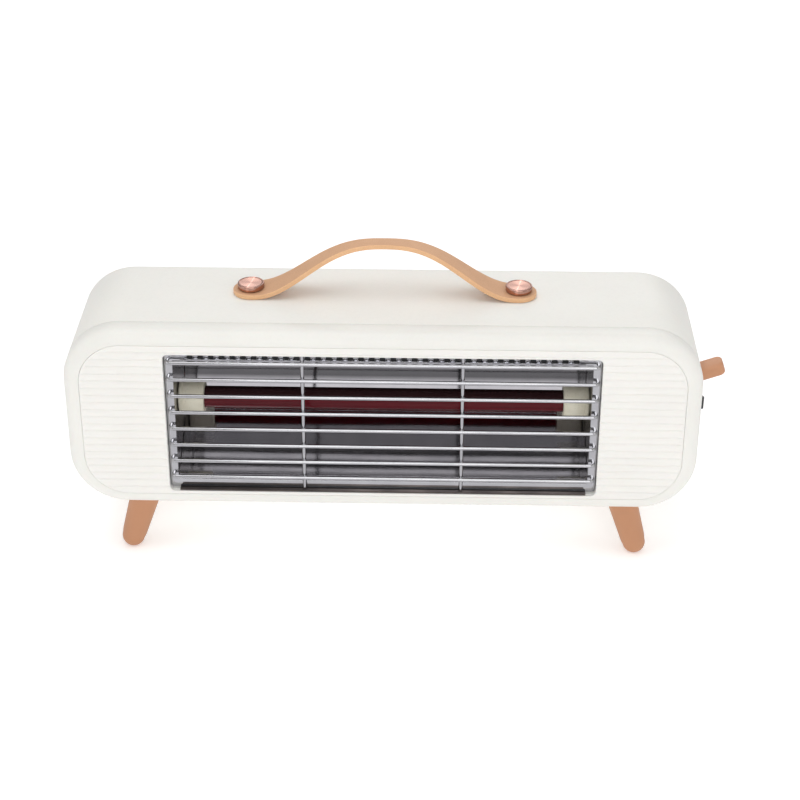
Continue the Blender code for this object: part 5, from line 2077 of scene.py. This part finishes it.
@dataclass
class Insides:
    """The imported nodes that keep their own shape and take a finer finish."""

    nodes: dict[str, Object]
    finishes: Finishes

    def dress(self) -> None:
        """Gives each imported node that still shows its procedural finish."""
        for name, node in sorted(self.nodes.items()):
            if node.hide_render:
                continue
            material = self._finish_for(name)
            for slot in node.material_slots:
                slot.material = material
            LOG.info("%s keeps its packed shape, in %s", name, material.name)

    def _finish_for(self, name: str) -> Material:
        """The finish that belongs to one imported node."""
        if name.startswith("reflector_end"):
            return self.finishes.end_plate
        if name.startswith("lead_wire"):
            return self.finishes.lead
        if name == "thermal_fuse":
            return self.finishes.ceramic
        if name in ("thermostat", "terminal_block", "tip_switch_housing"):
            return self.finishes.black
        return self.finishes.zinc


# ---- studio


@dataclass
class Studio:
    """The pale floor, the soft lights and the camera."""

    floor_half: float = 6.0
    camera_spot: tuple[float, float, float] = (0.02025, -1.1115, 0.7209)
    lens: float = 87.975
    pan: float = math.radians(-1.02)
    tilt: float = math.radians(29.49)
    roll: float = math.radians(0.23)

    def build(self) -> None:
        """Sets up the whole studio."""
        scene = bpy.context.scene
        scene.view_settings.view_transform = "Standard"
        scene.view_settings.look = "None"
        self.build_floor()
        self.build_surround()
        self.build_lights()
        self.build_camera()

    def build_floor(self) -> None:
        """A plain pale floor with a gentle mottle, duller where bright metal mirrors it."""
        shape = bmesh.new()
        bmesh.ops.create_grid(shape, x_segments=2, y_segments=2, size=self.floor_half)
        mesh = bpy.data.meshes.new("floor")
        shape.to_mesh(mesh)
        shape.free()
        floor = bpy.data.objects.new("floor", mesh)
        bpy.context.scene.collection.objects.link(floor)
        material, wall, shader = blank_material("pale floor")
        share = wall.spread(wall.noise(wall.place(), 3.0, 2.0), 0.3, 0.7, 0.0, 1.0)
        tone = wall.mix(share, with_alpha((0.93, 0.93, 0.93)), with_alpha((0.90, 0.90, 0.90)))
        glossy = wall.add("ShaderNodeLightPath").outputs["Is Glossy Ray"]
        wall.feed(shader.inputs["Base Color"], wall.mix(glossy, tone, with_alpha((0.66, 0.655, 0.67))))
        glow = wall.mix(glossy, with_alpha((1.0, 1.0, 1.0)), with_alpha((0.5, 0.5, 0.52)))
        wall.feed(shader.inputs["Emission Color"], glow)
        adjust(shader, Roughness=0.9, Specular_IOR_Level=0.1, Emission_Strength=0.3)
        mesh.materials.append(material)

    def build_surround(self) -> None:
        """A soft surround, white to the eye, whose dark band in front shows only in mirrors."""
        world = bpy.data.worlds.new("studio")
        bpy.context.scene.world = world
        world.use_nodes = True
        wall = Wiring(world.node_tree)
        sky = world.node_tree.nodes["Background"]
        direction = wall.add("ShaderNodeTexCoord").outputs["Generated"]
        parts = wall.add("ShaderNodeSeparateXYZ", Vector=direction).outputs
        height = wall.spread(parts["Z"], -0.15, 0.55, 0.22, 1.0)
        path = wall.add("ShaderNodeLightPath").outputs
        near = wall.spread(parts["Y"], -0.1, -0.35, 0.0, 0.9)
        band = wall.math("MULTIPLY", wall.spread(parts["Z"], 0.63, 0.7, 0.0, 1.0), near)
        band = wall.math("MULTIPLY", band, wall.spread(parts["Z"], 0.74, 0.84, 1.0, 0.0))
        band = wall.math("MULTIPLY", band, path["Is Glossy Ray"])
        shade = wall.math("MULTIPLY", height, wall.math("SUBTRACT", 1.0, band))
        tone = wall.mix(shade, with_alpha((0.0, 0.0, 0.0)), with_alpha((1.0, 0.995, 0.985)))
        clean = wall.mix(path["Is Camera Ray"], tone, with_alpha((1.6, 1.6, 1.6)))
        wall.feed(sky.inputs["Color"], clean)
        sky.inputs["Strength"].default_value = 0.64

    def build_lights(self) -> None:
        """A broad light overhead, a fill in front, one at each side and one behind."""
        self._area("overhead", (-0.25, -0.15, 1.9), (0, 0, 0.1), 1.5, 1.2, 8.7)
        self._area("front fill", (0.35, -2.3, 1.15), (0, 0, 0.1), 1.8, 1.0, 13.2)
        self._area("left side", (-2.0, -0.7, 0.9), (0, 0, 0.1), 0.9, 1.2, 4.0)
        self._area("right side", (2.0, -0.5, 0.8), (0, 0, 0.1), 0.9, 1.2, 3.0)
        self._area("rear", (0.3, 2.2, 1.2), (0, 0, 0.1), 1.6, 0.9, 6.0)

    @staticmethod
    def _area(
        name: str,
        spot: tuple[float, float, float],
        target: tuple[float, float, float],
        width: float,
        height: float,
        power: float,
    ) -> None:
        """Hangs one rectangular light.

        Args:
            name: The light's name.
            spot: Where it hangs.
            target: What it points at.
            width: Its width.
            height: Its height.
            power: Its power in watts.
        """
        data = bpy.data.lights.new(name, "AREA")
        data.shape = "RECTANGLE"
        data.size = width
        data.size_y = height
        data.energy = power
        lamp = bpy.data.objects.new(name, data)
        bpy.context.scene.collection.objects.link(lamp)
        lamp.location = spot
        lamp.rotation_euler = (Vector(target) - Vector(spot)).to_track_quat("-Z", "Y").to_euler()

    def build_camera(self) -> None:
        """Places the camera high in front, looking down."""
        data = bpy.data.cameras.new("camera")
        data.lens = self.lens
        data.sensor_width = 36.0
        data.clip_start, data.clip_end = 0.05, 50.0
        camera = bpy.data.objects.new("camera", data)
        bpy.context.scene.collection.objects.link(camera)
        turn, dip = self.pan, self.tilt
        ahead = Vector((math.sin(turn) * math.cos(dip), math.cos(turn) * math.cos(dip), -math.sin(dip)))
        right = Vector((math.cos(turn), -math.sin(turn), 0))
        above = right.cross(ahead)
        rolled = math.cos(self.roll) * right + math.sin(self.roll) * above
        upright = -math.sin(self.roll) * right + math.cos(self.roll) * above
        axes = Matrix((rolled, upright, -ahead)).transposed()
        camera.matrix_world = Matrix.Translation(self.camera_spot) @ axes.to_4x4()
        bpy.context.scene.camera = camera


# ---- main


def main() -> None:
    """Builds every sub-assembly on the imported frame, in order."""
    logging.basicConfig(level=logging.INFO, format="%(message)s")
    for obj in list(bpy.data.objects):
        bpy.data.objects.remove(obj)
    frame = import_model()
    shop = Workshop(Datum.from_frame())
    finishes = Finishes.build()
    Casing(shop, finishes).build()
    RibbedPanel(shop, finishes).build()
    WireGuard(shop, finishes).build()
    HeatingElement(shop, finishes).build()
    StrapHandle(shop, finishes).build()
    Legs(shop, finishes).build()
    Controls(shop, finishes).build()
    Insides(frame["nodes"], finishes).dress()
    Studio().build()


if __name__ == "__main__":
    main()
